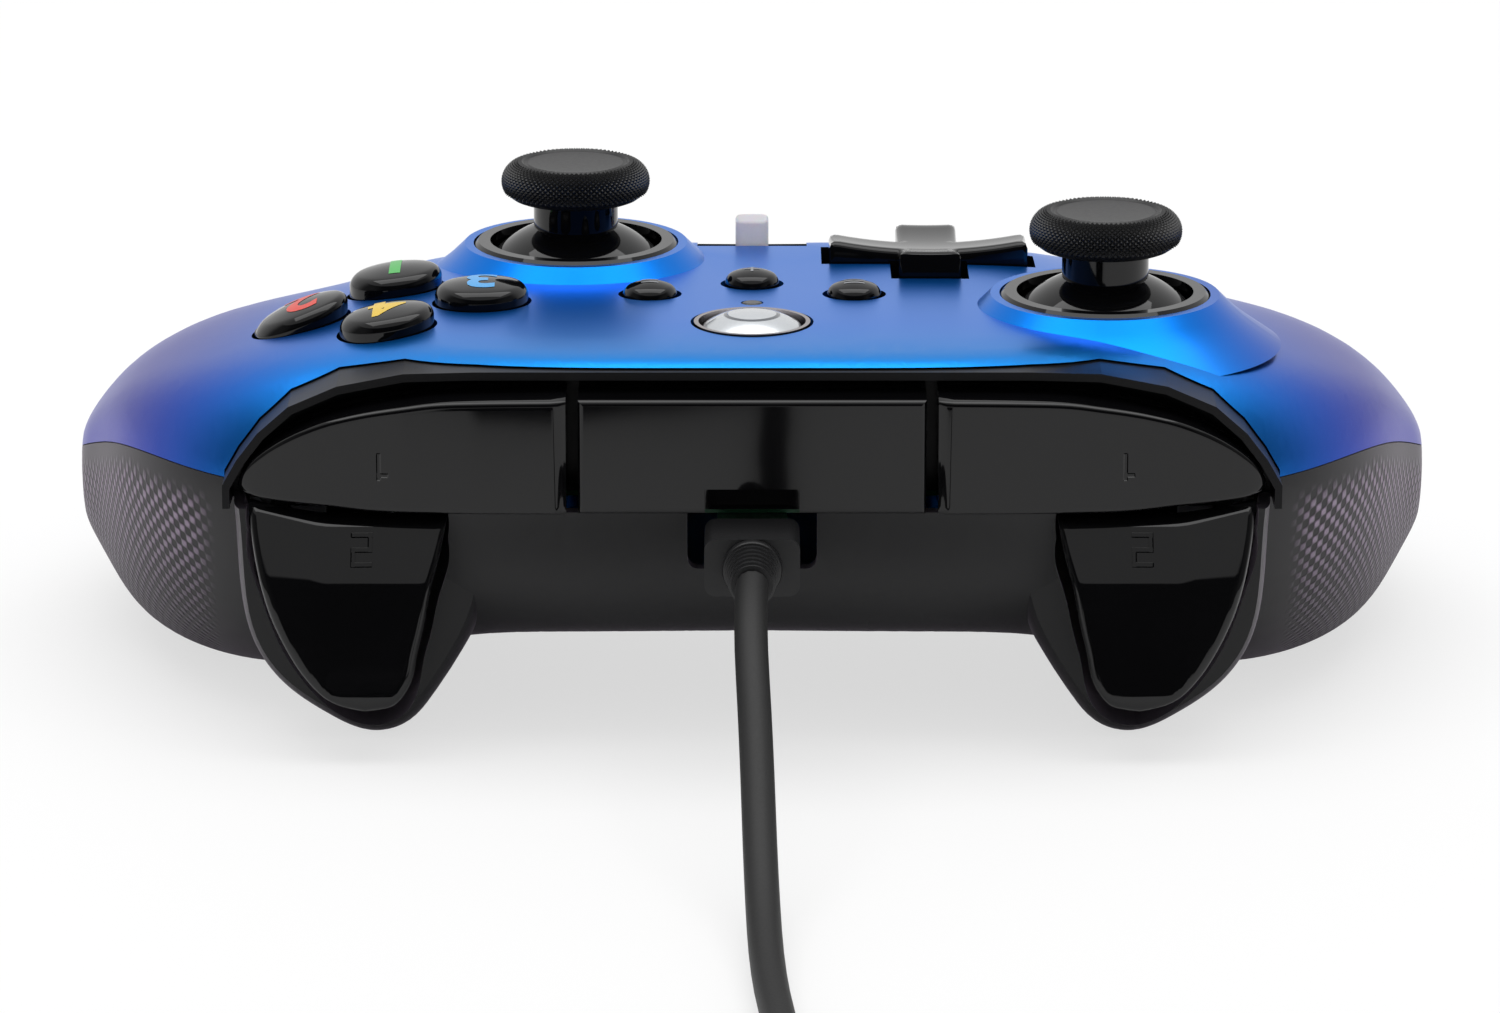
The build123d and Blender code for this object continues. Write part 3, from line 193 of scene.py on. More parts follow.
class Finish(Nodes):
    """A material, its shader and the nodes that feed it."""

    def __init__(self, name, **constants):
        self.material = bpy.data.materials.new(name)
        self.material.use_nodes = True
        super().__init__(self.material.node_tree)
        self.shader = self.tree.nodes["Principled BSDF"]
        for socket, value in constants.items():
            self.shader.inputs[socket.replace("_", " ")].default_value = value

    def feed(self, socket, level):
        """Links a level to an input of the shader."""
        self.tree.links.new(level.socket, self.shader.inputs[socket])

    def place(self):
        """Position on the piece in millimetres, in the pad's own frame."""
        spot = self.add("ShaderNodeTexCoord", {}, {}, "Object")
        return self.add("ShaderNodeVectorMath", {"operation": "SCALE"}, {0: spot, "Scale": 1 / MM})

    def facing(self):
        """Parts of the surface's own direction."""
        return self.parts(self.add("ShaderNodeNewGeometry", {}, {}, "Normal"))

    def grain(self, vector, size, detail=2.0):
        """Noise from 0 to 1 whose lumps are about size millimetres across."""
        return self.add(
            "ShaderNodeTexNoise", {},
            {"Vector": vector, "Scale": 1 / size, "Detail": detail, "Roughness": 0.5})

    def mixed(self, factor, first, second):
        """Blend of two colours, each a Level or a fixed colour."""
        made = self.tree.nodes.new("ShaderNodeMix")
        made.data_type = "RGBA"
        for place, value in ((0, factor), (6, first), (7, second)):
            if isinstance(value, Level):
                self.tree.links.new(value.socket, made.inputs[place])
            else:
                made.inputs[place].default_value = value if place == 0 else (*value, 1.0)
        return Level(self, made.outputs[2])

    def bump(self, height, depth, under=None):
        """Direction of a surface raised by a height of 0 to 1, where 1 is depth metres."""
        values = {"Height": height, "Distance": depth, "Strength": 1.0}
        if under is not None:
            values["Normal"] = under
        return self.add("ShaderNodeBump", {}, values)


# ------------------------ finishes
# Places and sizes on the pieces are in millimetres.

COVER_CORE = (5.0, -10.0)  # (y, z) of a line along the pad that the cover's outside faces away from
STROKE_BLUR = 0.07
STROKE_DEPTH = 0.35
GRIP_CORE = (46.0, 4.0)  # (x, y) of the upright line that the diamonds run round
GRIP_ROUNDNESS = 29.0


def scaled(tone, factor):
    """Colour made lighter or darker."""
    return tuple(part * factor for part in tone)


def pearl_paint(settings):
    """Satin pearl blue, brighter on the front crest with a painted highlight and violet on the wings with a
    painted sheen, bare inside.
    """
    finish = Finish("pearl_paint", Coat_Roughness=0.12, Coat_IOR=1.5)
    place = finish.place()
    x, y, z = finish.parts(place)
    # Painted sheen: the base colour turns violet towards the wings, where the pearl shows a grazing sheen.
    wing_sheen = (abs(x) + 0.25 * y).ramp(low=34.0, high=70.0)
    # Painted highlight: the pearl turns towards the brighter crest colour towards the front crest.
    crest = (-1 * y).ramp(low=24.0, high=43.0)
    flakes = finish.grain(place, size=0.09, detail=1.0)
    tone = finish.mixed(crest, tuple(settings.cover), tuple(settings.cover_crest_highlight))
    tone = finish.mixed(wing_sheen, tone, tuple(settings.cover_wing_sheen))
    bright_flakes = flakes.ramp(low=0.62, high=0.8) * 0.3
    tone = finish.mixed(bright_flakes, tone, tuple(min(1.0, part) for part in scaled(settings.cover, 1.25)))
    ahead, aside, up = finish.facing()
    core_y, core_z = COVER_CORE
    outer = (ahead * x + aside * (y - core_y) + up * (z - core_z)).ramp(low=-3.0, high=3.0)
    finish.feed("Base Color", finish.mixed(outer, tuple(settings.satin), tone))
    finish.feed("Metallic", 0.96 * outer)
    finish.feed("Coat Weight", 0.05 * outer)
    finish.feed("Roughness", 0.3 + 0.05 * flakes)
    ripple = finish.grain(place, size=0.35)
    finish.feed("Normal", finish.bump(ripple, 0.004 * MM))
    return finish.material


def gloss_black(settings, name="gloss_black", strokes=()):
    """Polished black moulding, with sunk strokes as (x, z, half width, half height)."""
    finish = Finish(name, IOR=1.42)
    place = finish.place()
    cloud = finish.grain(place, size=9.0, detail=3.0)
    finish.feed("Roughness", 0.03 + 0.03 * cloud)
    finish.feed("Base Color", finish.mixed(cloud, tuple(settings.black), scaled(settings.black, 1.6)))
    under = finish.bump(finish.grain(place, size=14.0, detail=1.0), 0.02 * MM)
    if strokes:
        x, y, z = finish.parts(place)
        sunk = 0.0
        for middle_x, middle_z, half_width, half_height in strokes:
            inside = (half_width - abs(x - middle_x)).ramp(-STROKE_BLUR, STROKE_BLUR)
            inside = inside * (half_height - abs(z - middle_z)).ramp(-STROKE_BLUR, STROKE_BLUR)
            sunk = inside + sunk
        front = (-1 * y).ramp(low=42.0, high=43.0)
        under = finish.bump(1 - (sunk * front).clamped(), STROKE_DEPTH * MM, under)
    finish.feed("Normal", under)
    return finish.material


def frame_black(settings):
    """Fine-grained satin moulding."""
    finish = Finish("frame_black", IOR=1.25)
    grit = finish.grain(finish.place(), size=0.12)
    finish.feed("Roughness", 0.3 + 0.08 * grit)
    finish.feed("Base Color", finish.mixed(grit, tuple(settings.satin), scaled(settings.satin, 1.5)))
    finish.feed("Normal", finish.bump(grit, 0.006 * MM))
    return finish.material


def diamonds(across, down, pitch):
    """Rows of small diamonds from 0 to 1, each row set off by half a pitch."""
    wave = 2 * math.pi / pitch
    return ((across * wave).sine() * (down * (0.62 * wave)).sine()).ramp(low=-0.25, high=0.75)


def grip_black(settings):
    """Satin back cover whose grips carry a field of fine diamonds, with painted highlights on their points
    high up, and painted shade low down and in the valleys between them.
    """
    finish = Finish(
        "grip_black", IOR=1.42, Sheen_Weight=0.25, Sheen_Roughness=0.35, Sheen_Tint=(0.8, 0.68, 0.85, 1.0))
    place = finish.place()
    x, y, z = finish.parts(place)
    run_x = abs(x) - GRIP_CORE[0]
    run_y = y - GRIP_CORE[1]
    reach = (run_x ** 2 + run_y ** 2) ** 0.5
    round_the_grip = run_y.angle_over(run_x) * GRIP_ROUNDNESS
    pattern = diamonds(round_the_grip, z + 0.8 * reach, settings.grip_pitch / MM)
    seam = 28.1 - 0.29 * (y + 20.0).at_least(0.0)
    below_seam = (seam - z).ramp(low=1.6, high=5.0)
    outer = abs(x).ramp(low=58.5, high=62.0)
    behind = (y + abs(x) * 0.75).ramp(low=38.0, high=46.0)
    field = (below_seam * outer.at_least(behind)).clamped()
    grit = finish.grain(place, size=0.12)
    # Painted light and shade: the diamonds' points get lighter higher on the grips and darker low down.
    points = finish.mixed(z.ramp(low=4.0, high=24.0), scaled(settings.satin, 2.0), tuple(settings.grip_highlight))
    tone = finish.mixed(grit, tuple(settings.satin), scaled(settings.satin, 1.5))
    # Painted shade in the valleys between the diamonds and painted highlight on their points.
    textured = finish.mixed(pattern, scaled(settings.satin, 0.35), points)
    finish.feed("Base Color", finish.mixed(field, tone, textured))
    finish.feed("Roughness", 0.4 + 0.06 * grit + 0.06 * field)
    fine = finish.bump(grit, 0.006 * MM)
    finish.feed("Normal", finish.bump(pattern * field, settings.grip_depth, fine))
    return finish.material


def plain(name, code, roughness, metallic=0.0, size=0.4):
    """Moulded or turned surface with a fine grain and slight changes of tone."""
    finish = Finish(name, Metallic=metallic)
    place = finish.place()
    grit = finish.grain(place, size)
    cloud = finish.grain(place, size=7.0)
    tone = linear(code)
    finish.feed("Base Color", finish.mixed(cloud, scaled(tone, 0.82), tone))
    finish.feed("Roughness", roughness + 0.1 * grit)
    finish.feed("Normal", finish.bump(grit, 0.01 * MM))
    return finish.material


def paint(material, *names):
    """Gives the frame's own nodes a finish."""
    for name in names:
        for material_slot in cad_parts[name].material_slots:
            material_slot.material = material


# ------------------------ shapes

MERGE_DISTANCE = 0.002
CURVE_STEPS = 12
PAD_COLUMNS = 28
CAP_TURNS = 72
CAP_FACE_RINGS = (0.2, 0.4, 0.58, 0.72)  # shares of a cap's radius
CAP_EDGE_RINGS = (1.0, 0.8, 0.6, 0.42, 0.28, 0.16, 0.07, 0.02, 0.0)  # shares of its edge's radius
ARM_STEPS, MIDDLE_STEPS = 12, 14
BAR_COLUMNS, BAR_ROWS = 10, 3
NUMERAL_BOLDNESS, NUMERAL_CUTS = 0.03, 5


def add_piece(name, points, faces, material, body, *nodes, sharp=math.radians(40)):
    """Makes a piece from points in millimetres, on its body and in place of its nodes."""
    form = bmesh.new()
    corners = [form.verts.new(Vector(point) * MM) for point in points]
    for face in faces:
        ring = list(dict.fromkeys(face))
        if len(ring) > 2:
            form.faces.new([corners[index] for index in ring])
    bmesh.ops.remove_doubles(form, verts=form.verts, dist=MERGE_DISTANCE * MM)
    bmesh.ops.recalc_face_normals(form, faces=form.faces)
    mesh = bpy.data.meshes.new(name)
    form.to_mesh(mesh)
    form.free()
    mesh.shade_smooth()
    mesh.set_sharp_from_angle(angle=sharp)
    mesh.materials.append(material)
    piece = bpy.data.objects.new(name, mesh)
    bpy.context.collection.objects.link(piece)
    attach(piece, body)
    if nodes:
        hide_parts(*nodes)
    return piece


def add_pair(piece, points, faces, material, body):
    """Makes a left piece and its mirror image, each on its own body and in place of its node."""
    for side, sign in (("left", 1), ("right", -1)):
        spots = [(sign * x, y, z) for x, y, z in points]
        add_piece(f"{side}_{piece}", spots, faces, material, f"{side}_{body}", f"{side}_{body}")


def bridged(rows, closed):
    """Faces between rows of point numbers, each row a ring when closed."""
    faces = []
    for row, following in zip(rows, rows[1:]):
        count = len(row)
        for place in range(count if closed else count - 1):
            after = (place + 1) % count
            faces.append((row[place], row[after], following[after], following[place]))
    return faces


def turned(profile, middle, count, lift=None):
    """Profile of (radius, height) turned about an upright line, with an optional lift outwards."""
    points = []
    rows = []
    for step, (radius, height) in enumerate(profile):
        row = []
        for turn in range(count):
            if radius == 0 and turn > 0:
                row.append(row[0])
                continue
            out, up = lift(turn, step) if lift else (0.0, 0.0)
            angle = 2 * math.pi * turn / count
            reach = radius + out
            x, y = middle[0] + reach * math.cos(angle), middle[1] + reach * math.sin(angle)
            row.append(len(points))
            points.append((x, y, height + up))
        rows.append(row)
    return points, bridged(rows, True)


def smooth_line(points, count):
    """Even steps along a smooth curve through a few flat points."""
    given = [Vector((*point, 0)) for point in points]
    knots = [2 * given[0] - given[1], *given, 2 * given[-1] - given[-2]]
    dense = []
    for before, start, end, after in zip(knots, knots[1:], knots[2:], knots[3:]):
        for step in range(CURVE_STEPS):
            t = step / CURVE_STEPS
            dense.append(0.5 * (
                2 * start + (end - before) * t + (2 * before - 5 * start + 4 * end - after) * t ** 2
                + (3 * start - before - 3 * end + after) * t ** 3))
    dense.append(knots[-2])
    runs = [0.0]
    for start, end in zip(dense, dense[1:]):
        runs.append(runs[-1] + (end - start).length)
    line = []
    index = 0
    for step in range(count):
        want = runs[-1] * step / (count - 1)
        while index < len(runs) - 2 and runs[index + 1] < want:
            index += 1
        span = runs[index + 1] - runs[index]
        spot = dense[index].lerp(dense[index + 1], (want - runs[index]) / span)
        line.append((spot.x, spot.y))
    return line


def eased_steps(count, crowding):
    """Shares from 0 to 1 that crowd together near both ends."""
    steps = [index / count for index in range(count + 1)]
    return [even + (0.5 - 0.5 * math.cos(math.pi * even) - even) * crowding for even in steps]


def distance_to(outline, x, z):
    """Least distance from a place to a closed outline of flat points."""
    least = math.inf
    for start, end in zip(outline, outline[1:] + outline[:1]):
        run_x, run_z = end[0] - start[0], end[1] - start[1]
        squared = max(1e-9, run_x ** 2 + run_z ** 2)
        share = ((x - start[0]) * run_x + (z - start[1]) * run_z) / squared
        share = min(1.0, max(0.0, share))
        least = min(least, math.hypot(x - start[0] - share * run_x, z - start[1] - share * run_z))
    return least


def rounded_drop(inside, radius):
    """How far a rounded edge lies below its face at a distance inside the outline."""
    inside = min(radius, max(0.0, inside))
    return radius - math.sqrt(radius ** 2 - (radius - inside) ** 2)


def pad_form(near_side, far_side, face_y, back_y, edge_radius, sag):
    """Front pad between two side lines of (x, z), with a rounded edge and a sagging top."""
    outline = near_side + far_side[::-1]
    shares = eased_steps(PAD_COLUMNS, crowding=0.75)
    points = []
    rows = []
    for step, (near, far) in enumerate(zip(near_side, far_side)):
        row = []
        for amount in shares:
            x = near[0] + (far[0] - near[0]) * amount
            z = near[1] + (far[1] - near[1]) * amount
            drop = rounded_drop(distance_to(outline, x, z), edge_radius)
            z -= sag(x, step / len(near_side))
            row.append(len(points))
            points.append((x, face_y(x, z) + drop, z))
        rows.append(row)
    faces = bridged(rows, False)
    last_column = [row[-1] for row in rows[1:-1]]
    first_column = [row[0] for row in rows[-2:0:-1]]
    rim = list(dict.fromkeys(rows[0] + last_column + rows[-1][::-1] + first_column))
    back = []
    for index in rim:
        x, y, z = points[index]
        back.append(len(points))
        points.append((x, back_y(x, z), z))
    faces += bridged([rim, back], True)
    faces.append(tuple(back))
    return points, faces


def round_cap(place, radius, top_at, edge, foot):
    """Round button with a face of any height, a rounded edge and a straight wall."""
    points = [(*place, top_at(*place))]
    rows = [[0] * CAP_TURNS]
    reaches = [radius * amount for amount in CAP_FACE_RINGS]
    reaches += [radius - edge * amount for amount in CAP_EDGE_RINGS]
    for reach in reaches:
        row = []
        for turn in range(CAP_TURNS):
            angle = 2 * math.pi * turn / CAP_TURNS
            x, y = place[0] + reach * math.cos(angle), place[1] + reach * math.sin(angle)
            row.append(len(points))
            points.append((x, y, top_at(x, y) - rounded_drop(radius - reach, edge)))
        rows.append(row)
    wall = []
    for number in rows[-1]:
        wall.append(len(points))
        points.append((*points[number][:2], foot))
    rows.append(wall)
    faces = bridged(rows, True)
    faces.append(tuple(wall))
    return points, faces


def cross_cap(place, half_span, half_width, top_at, edge, foot):
    """Direction pad's cross with a hollow face and rounded edges."""
    w, s = half_width, half_span
    outline = [
        (-w, -s), (w, -s), (w, -w), (s, -w), (s, w), (w, w),
        (w, s), (-w, s), (-w, w), (-s, w), (-s, -w), (-w, -w),
    ]
    arm, across_middle = [eased_steps(count, crowding=0.9) for count in (ARM_STEPS, MIDDLE_STEPS)]
    lines = [-s + (s - w) * amount for amount in arm]
    lines += [-w + 2 * w * amount for amount in across_middle[1:]]
    lines += [w + (s - w) * amount for amount in arm[1:]]
    numbers = {}
    points = []
    for i, across in enumerate(lines):
        for j, back in enumerate(lines):
            if min(abs(across), abs(back)) <= w + 1e-6:
                x, y = place[0] + across, place[1] + back
                inside = distance_to(outline, across, back)
                numbers[i, j] = len(points)
                points.append((x, y, top_at(x, y) - rounded_drop(inside, edge)))
    faces = []
    for i in range(len(lines) - 1):
        for j in range(len(lines) - 1):
            corners = [(i, j), (i + 1, j), (i + 1, j + 1), (i, j + 1)]
            middle = (lines[i] + lines[i + 1]) / 2, (lines[j] + lines[j + 1]) / 2
            if min(abs(middle[0]), abs(middle[1])) < w:
                faces.append(tuple(numbers[corner] for corner in corners))
    rim = {}
    for face in faces:
        for start, end in zip(face, face[1:] + face[:1]):
            if rim.pop((end, start), None) is None:
                rim[start, end] = True
    foot_of = {}
    for start, end in rim:
        for number in (start, end):
            if number not in foot_of:
                foot_of[number] = len(points)
                points.append((*points[number][:2], foot))
        faces.append((start, end, foot_of[end], foot_of[start]))
    return points, faces


def along(line, place):
    """Value at a place on a line of (place, value) pairs, straight between them."""
    for (low, first), (high, second) in zip(line, line[1:]):
        if place <= high:
            return first + (second - first) * (place - low) / (high - low)
    return line[-1][1]


def numeral(character, height):
    """Outline of a plain numeral as flat points in millimetres, middle at nought, and its faces."""
    letter = bpy.data.curves.new("numeral", "FONT")
    letter.body = character
    letter.resolution_u = 4
    letter.offset = NUMERAL_BOLDNESS
    holder = bpy.data.objects.new("numeral", letter)
    bpy.context.collection.objects.link(holder)
    form = bmesh.new()
    form.from_mesh(holder.to_mesh())
    bmesh.ops.triangulate(form, faces=form.faces)
    bmesh.ops.subdivide_edges(form, edges=form.edges, cuts=NUMERAL_CUTS, use_grid_fill=True)
    bmesh.ops.triangulate(form, faces=form.faces)
    form.verts.index_update()
    spots = [(corner.co.x, corner.co.y) for corner in form.verts]
    faces = [tuple(corner.index for corner in face.verts) for face in form.faces]
    form.free()
    bpy.data.objects.remove(holder)
    bpy.data.curves.remove(letter)
    wide, tall = zip(*spots)
    scale = height / (max(tall) - min(tall))
    middle = ((max(wide) + min(wide)) / 2, (max(tall) + min(tall)) / 2)
    return [((x - middle[0]) * scale, (y - middle[1]) * scale) for x, y in spots], faces


def bar(width, depth, middle):
    """Flat bar as a grid of points in millimetres, and its faces."""
    points = [
        (middle[0] + width * (column / BAR_COLUMNS - 0.5), middle[1] + depth * (row / BAR_ROWS - 0.5))
        for row in range(BAR_ROWS + 1) for column in range(BAR_COLUMNS + 1)]
    size = BAR_COLUMNS + 1
    return points, bridged([range(row * size, (row + 1) * size) for row in range(BAR_ROWS + 1)], False)


# ------------------------ stage
# The floor and the lamp are in metres, the camera's aim and sensor in millimetres.

FLOOR_REACH = 6.0
FLOOR_GLOW = 0.66  # share of plain white in what the camera sees of the table
LAMP_PLACE = (0.0, 0.12, 1.1)
LAMP_SIZE = (1.5, 0.9)
ROOM_LEVEL = 0.65  # what falls on dull surfaces
ROOM_AHEAD, ROOM_BEHIND, ROOM_ASIDE, ROOM_OVERHEAD = 0.02, 0.78, 0.15, 0.6  # what gloss mirrors
AIM_X = -0.23
SENSOR_WIDTH = 36.0
NEAREST_SEEN = 0.01  # metres


class GAMEPAD_OT_stage(bpy.types.Operator):
    """Pale floor, soft overhead light, even surroundings and the camera"""

    bl_idname = "gamepad.stage"
    bl_label = "Stage"

    def execute(self, context):
        settings = context.scene.gamepad_stage
        self.add_floor(settings)
        self.add_light(context, settings)
        self.add_surroundings(context)
        self.add_camera(context, settings)
        return {"FINISHED"}

    def add_floor(self, settings):
        mesh = bpy.data.meshes.new("table_top")
        corners = [(x * FLOOR_REACH, y * FLOOR_REACH, 0) for x, y in ((-1, -1), (1, -1), (1, 1), (-1, 1))]
        mesh.from_pydata(corners, [], [(0, 1, 2, 3)])
        table = bpy.data.objects.new("table_top", mesh)
        bpy.context.collection.objects.link(table)
        finish = Finish("table_finish", Roughness=0.6, IOR=1.3)
        finish.shader.inputs["Base Color"].default_value = (*settings.floor, 1.0)
        glow = finish.add("ShaderNodeEmission", {}, {"Color": (1.0, 1.0, 1.0, 1.0), "Strength": 1.0})
        seen = finish.add("ShaderNodeLightPath", {}, {}, "Is Camera Ray")
        blend = finish.tree.nodes.new("ShaderNodeMixShader")
        finish.tree.links.new((FLOOR_GLOW * seen).socket, blend.inputs["Fac"])
        finish.tree.links.new(finish.shader.outputs[0], blend.inputs[1])
        finish.tree.links.new(glow.socket, blend.inputs[2])
        finish.tree.links.new(blend.outputs[0], finish.tree.nodes["Material Output"].inputs["Surface"])
        mesh.materials.append(finish.material)

    def add_light(self, context, settings):
        lamp = bpy.data.lights.new("overhead_light", "AREA")
        lamp.shape = "RECTANGLE"
        lamp.size, lamp.size_y = LAMP_SIZE
        lamp.energy = settings.top_light
        holder = bpy.data.objects.new("overhead_light", lamp)
        holder.location = LAMP_PLACE
        context.collection.objects.link(holder)

    def add_surroundings(self, context):
        """White to the camera, even for dull surfaces, and bands of light for gloss to mirror."""
        world = bpy.data.worlds.new("soft_room")
        context.scene.world = world
        world.use_nodes = True
        backdrop = world.node_tree.nodes["Background"]
        backdrop.inputs["Color"].default_value = (1.0, 1.0, 1.0, 1.0)
        room = Nodes(world.node_tree)
        x, y, z = room.parts(room.add("ShaderNodeTexCoord", {}, {}, "Generated"))
        rays = room.tree.nodes.new("ShaderNodeLightPath")
        seen, gloss, glass = [
            Level(room, rays.outputs[f"Is {kind} Ray"]) for kind in ("Camera", "Glossy", "Transmission")]
        behind = y.ramp(low=-0.1, high=0.45)
        aside = abs(x).ramp(low=0.5, high=0.9)
        overhead = z.ramp(low=0.64, high=0.68)
        bands = ROOM_AHEAD + ROOM_BEHIND * behind
        bands = bands + ROOM_ASIDE * aside * (1 - behind) + ROOM_OVERHEAD * overhead * (1 - behind)
        mirroring = (gloss + glass).clamped()
        level = seen + (1 - seen) * (mirroring * bands + (1 - mirroring) * ROOM_LEVEL)
        room.tree.links.new(level.socket, backdrop.inputs["Strength"])

    def add_camera(self, context, settings):
        lens = bpy.data.cameras.new("photo_camera")
        lens.lens = settings.focal_length
        lens.sensor_width = SENSOR_WIDTH
        lens.clip_start = NEAREST_SEEN
        camera = bpy.data.objects.new("photo_camera", lens)
        angle = settings.camera_height
        aim = Vector((AIM_X * MM, 0, settings.aim_height))
        back = Vector((0, -math.cos(angle), math.sin(angle)))
        camera.location = aim + back * settings.camera_distance
        camera.rotation_euler = back.to_track_quat("Z", "Y").to_euler()
        context.collection.objects.link(camera)
        context.scene.camera = camera
        context.scene.view_settings.view_transform = "Standard"


# ------------------------ covers

class GAMEPAD_OT_covers(bpy.types.Operator):
    """Pearl paint on the front cover and the textured satin black of the back cover"""

    bl_idname = "gamepad.covers"
    bl_label = "Covers"

    def execute(self, context):
        settings = context.scene.gamepad_finishes
        paint(pearl_paint(settings), "front_cover")
        paint(grip_black(settings), "back_cover")
        return {"FINISHED"}


# ------------------------ shoulders
# Side lines are (x, z), plans are (x, y) and profiles are (z, y), all of the pad's +X side.

BUMPER_TOP = (
    (20.0, 39.1), (32.0, 38.9), (37.4, 38.3), (42.7, 37.3), (46.9, 36.0), (50.8, 34.0), (53.9, 31.6),
    (55.3, 29.6), (55.6, 28.6),
)
BUMPER_BOTTOM = (
    (20.0, 26.5), (29.3, 26.5), (40.1, 26.6), (45.5, 27.0), (50.0, 27.2), (52.9, 27.4), (54.4, 27.7),
    (55.2, 28.1), (55.6, 28.6),
)
BUMPER_PLAN = (
    (20.0, -46.6), (30.0, -46.5), (38.0, -46.1), (44.0, -45.4), (48.0, -44.7), (51.0, -43.9), (53.5, -43.0),
    (55.6, -42.0),
)
BUMPER_BACK = -38.2
BUMPER_EDGE = 0.5
BUMPER_ROWS = 48
TRIGGER_CREASE = (46.3, 25.6)
TRIGGER_LEANS = (0.26, 0.03)  # slopes of the face outside and inside its crease
SAG_FADE = 5  # the top edge's bend is gone after a fifth of the rows
TRIGGER_EDGE = 0.8
TRIGGER_ROWS = 44
TRIGGER_INNER = (
    (32.9, 25.5), (33.6, 22.1), (34.5, 18.9), (35.2, 15.2), (36.0, 11.8), (36.7, 8.8), (38.6, 6.3),
    (41.8, 5.5),
)
TRIGGER_OUTER = (
    (54.4, 26.9), (54.3, 24.6), (53.4, 20.3), (51.7, 15.0), (48.8, 10.0), (45.5, 6.9), (41.8, 5.5),
)
TRIGGER_FACE = (
    (5.4, -50.3), (5.7, -50.9), (6.3, -51.3), (7.2, -51.4), (13.0, -50.4), (16.6, -49.75), (18.4, -49.35),
    (19.2, -49.1), (20.0, -48.6), (21.4, -47.7), (23.0, -46.65), (25.0, -45.3), (26.2, -44.5), (27.0, -43.9),
)
TRIGGER_BACK = (
    (5.4, -46.0), (10.0, -46.6), (14.0, -46.2), (17.6, -43.2), (19.2, -41.4), (24.5, -41.4), (25.6, -42.2),
    (27.0, -42.4),
)


# Strokes of the sunk numerals, as (across, up, half width, half height) of a numeral that is 2 high.
ONE = ((0.0, 0.0, 0.0, 1.0), (0.32, -0.72, 0.3, 0.0))
TWO = (
    (0.0, 1.0, 0.65, 0.0), (0.0, 0.0, 0.65, 0.0), (0.0, -1.0, 0.65, 0.0), (0.65, 0.5, 0.0, 0.5),
    (-0.65, -0.5, 0.0, 0.5),
)
STROKE_THICKNESS = 0.15


def numeral_strokes(reach, height, size, parts):
    """Strokes of one numeral on both sides of the pad, each with its own thickness added."""
    half = STROKE_THICKNESS * size
    return [
        (side * reach + across * size, height + up * size, wide * size + half, tall * size + half)
        for side in (-1, 1) for across, up, wide, tall in parts]


class GAMEPAD_OT_shoulders(bpy.types.Operator):
    """Bumpers, triggers, the bridge between them and the frame behind them"""

    bl_idname = "gamepad.shoulders"
    bl_label = "Shoulders"

    def execute(self, context):
        settings = context.scene.gamepad_finishes
        paint(gloss_black(settings), "shoulder_bridge")
        one = numeral_strokes(reach=40.1, height=31.7, size=1.3, parts=ONE)
        self.add_bumpers(gloss_black(settings, "bumper_black", one))
        paint(frame_black(settings), "bumper_frame")
        two = numeral_strokes(reach=42.0, height=22.7, size=1.4, parts=TWO)
        self.add_triggers(gloss_black(settings, "trigger_black", two))
        return {"FINISHED"}

    def add_bumpers(self, finish):
        points, faces = pad_form(
            smooth_line(BUMPER_TOP, BUMPER_ROWS), smooth_line(BUMPER_BOTTOM, BUMPER_ROWS),
            lambda x, z: along(BUMPER_PLAN, x), lambda x, z: BUMPER_BACK, BUMPER_EDGE, lambda x, down: 0.0)
        add_pair("bumper_bar", points, faces, finish, "bumper")

    def add_triggers(self, finish):
        """Claws whose face has an upright crease and whose top edge is bent at it."""
        crease_x = TRIGGER_CREASE[0]
        inner_top, outer_top = TRIGGER_INNER[0], TRIGGER_OUTER[0]

        def face_y(x, z):
            outside, inside = max(0.0, x - crease_x), max(0.0, crease_x - x)
            return along(TRIGGER_FACE, z) + (TRIGGER_LEANS[0] * outside + TRIGGER_LEANS[1] * inside)

        def sag(x, down):
            run, rise = outer_top[0] - inner_top[0], outer_top[1] - inner_top[1]
            straight = inner_top[1] + rise * (x - inner_top[0]) / run
            bent = along((inner_top, TRIGGER_CREASE, outer_top), x)
            return (straight - bent) * max(0.0, 1 - down * SAG_FADE)

        points, faces = pad_form(
            smooth_line(TRIGGER_INNER, TRIGGER_ROWS), smooth_line(TRIGGER_OUTER, TRIGGER_ROWS),
            face_y, lambda x, z: along(TRIGGER_BACK, z), TRIGGER_EDGE, sag)
        add_pair("trigger_claw", points, faces, finish, "trigger")


# ------------------------ buttons
# Places are (x, y) of a button's middle. Tops, edges and feet are in millimetres too.

# Name, numeral, place, colour of the numeral, height of the dome's top and its lean in degrees.
FACE_BUTTONS = (
    ("face_button_bottom", "1", (-40.1, -4.95), "4FB85A", 44.2, 6.5),
    ("face_button_right", "2", (-50.15, -15.0), "E0483C", 42.4, 20.0),
    ("face_button_left", "3", (-30.05, -15.0), "4FA8E8", 45.0, 1.0),
    ("face_button_top", "4", (-40.1, -25.05), "E8C33A", 44.4, 8.5),
)
FACE_RADIUS, FACE_DOME, FACE_EDGE, FACE_FOOT = 5.2, 0.8, 1.0, 39.0
NUMERAL_HEIGHT = 6.0
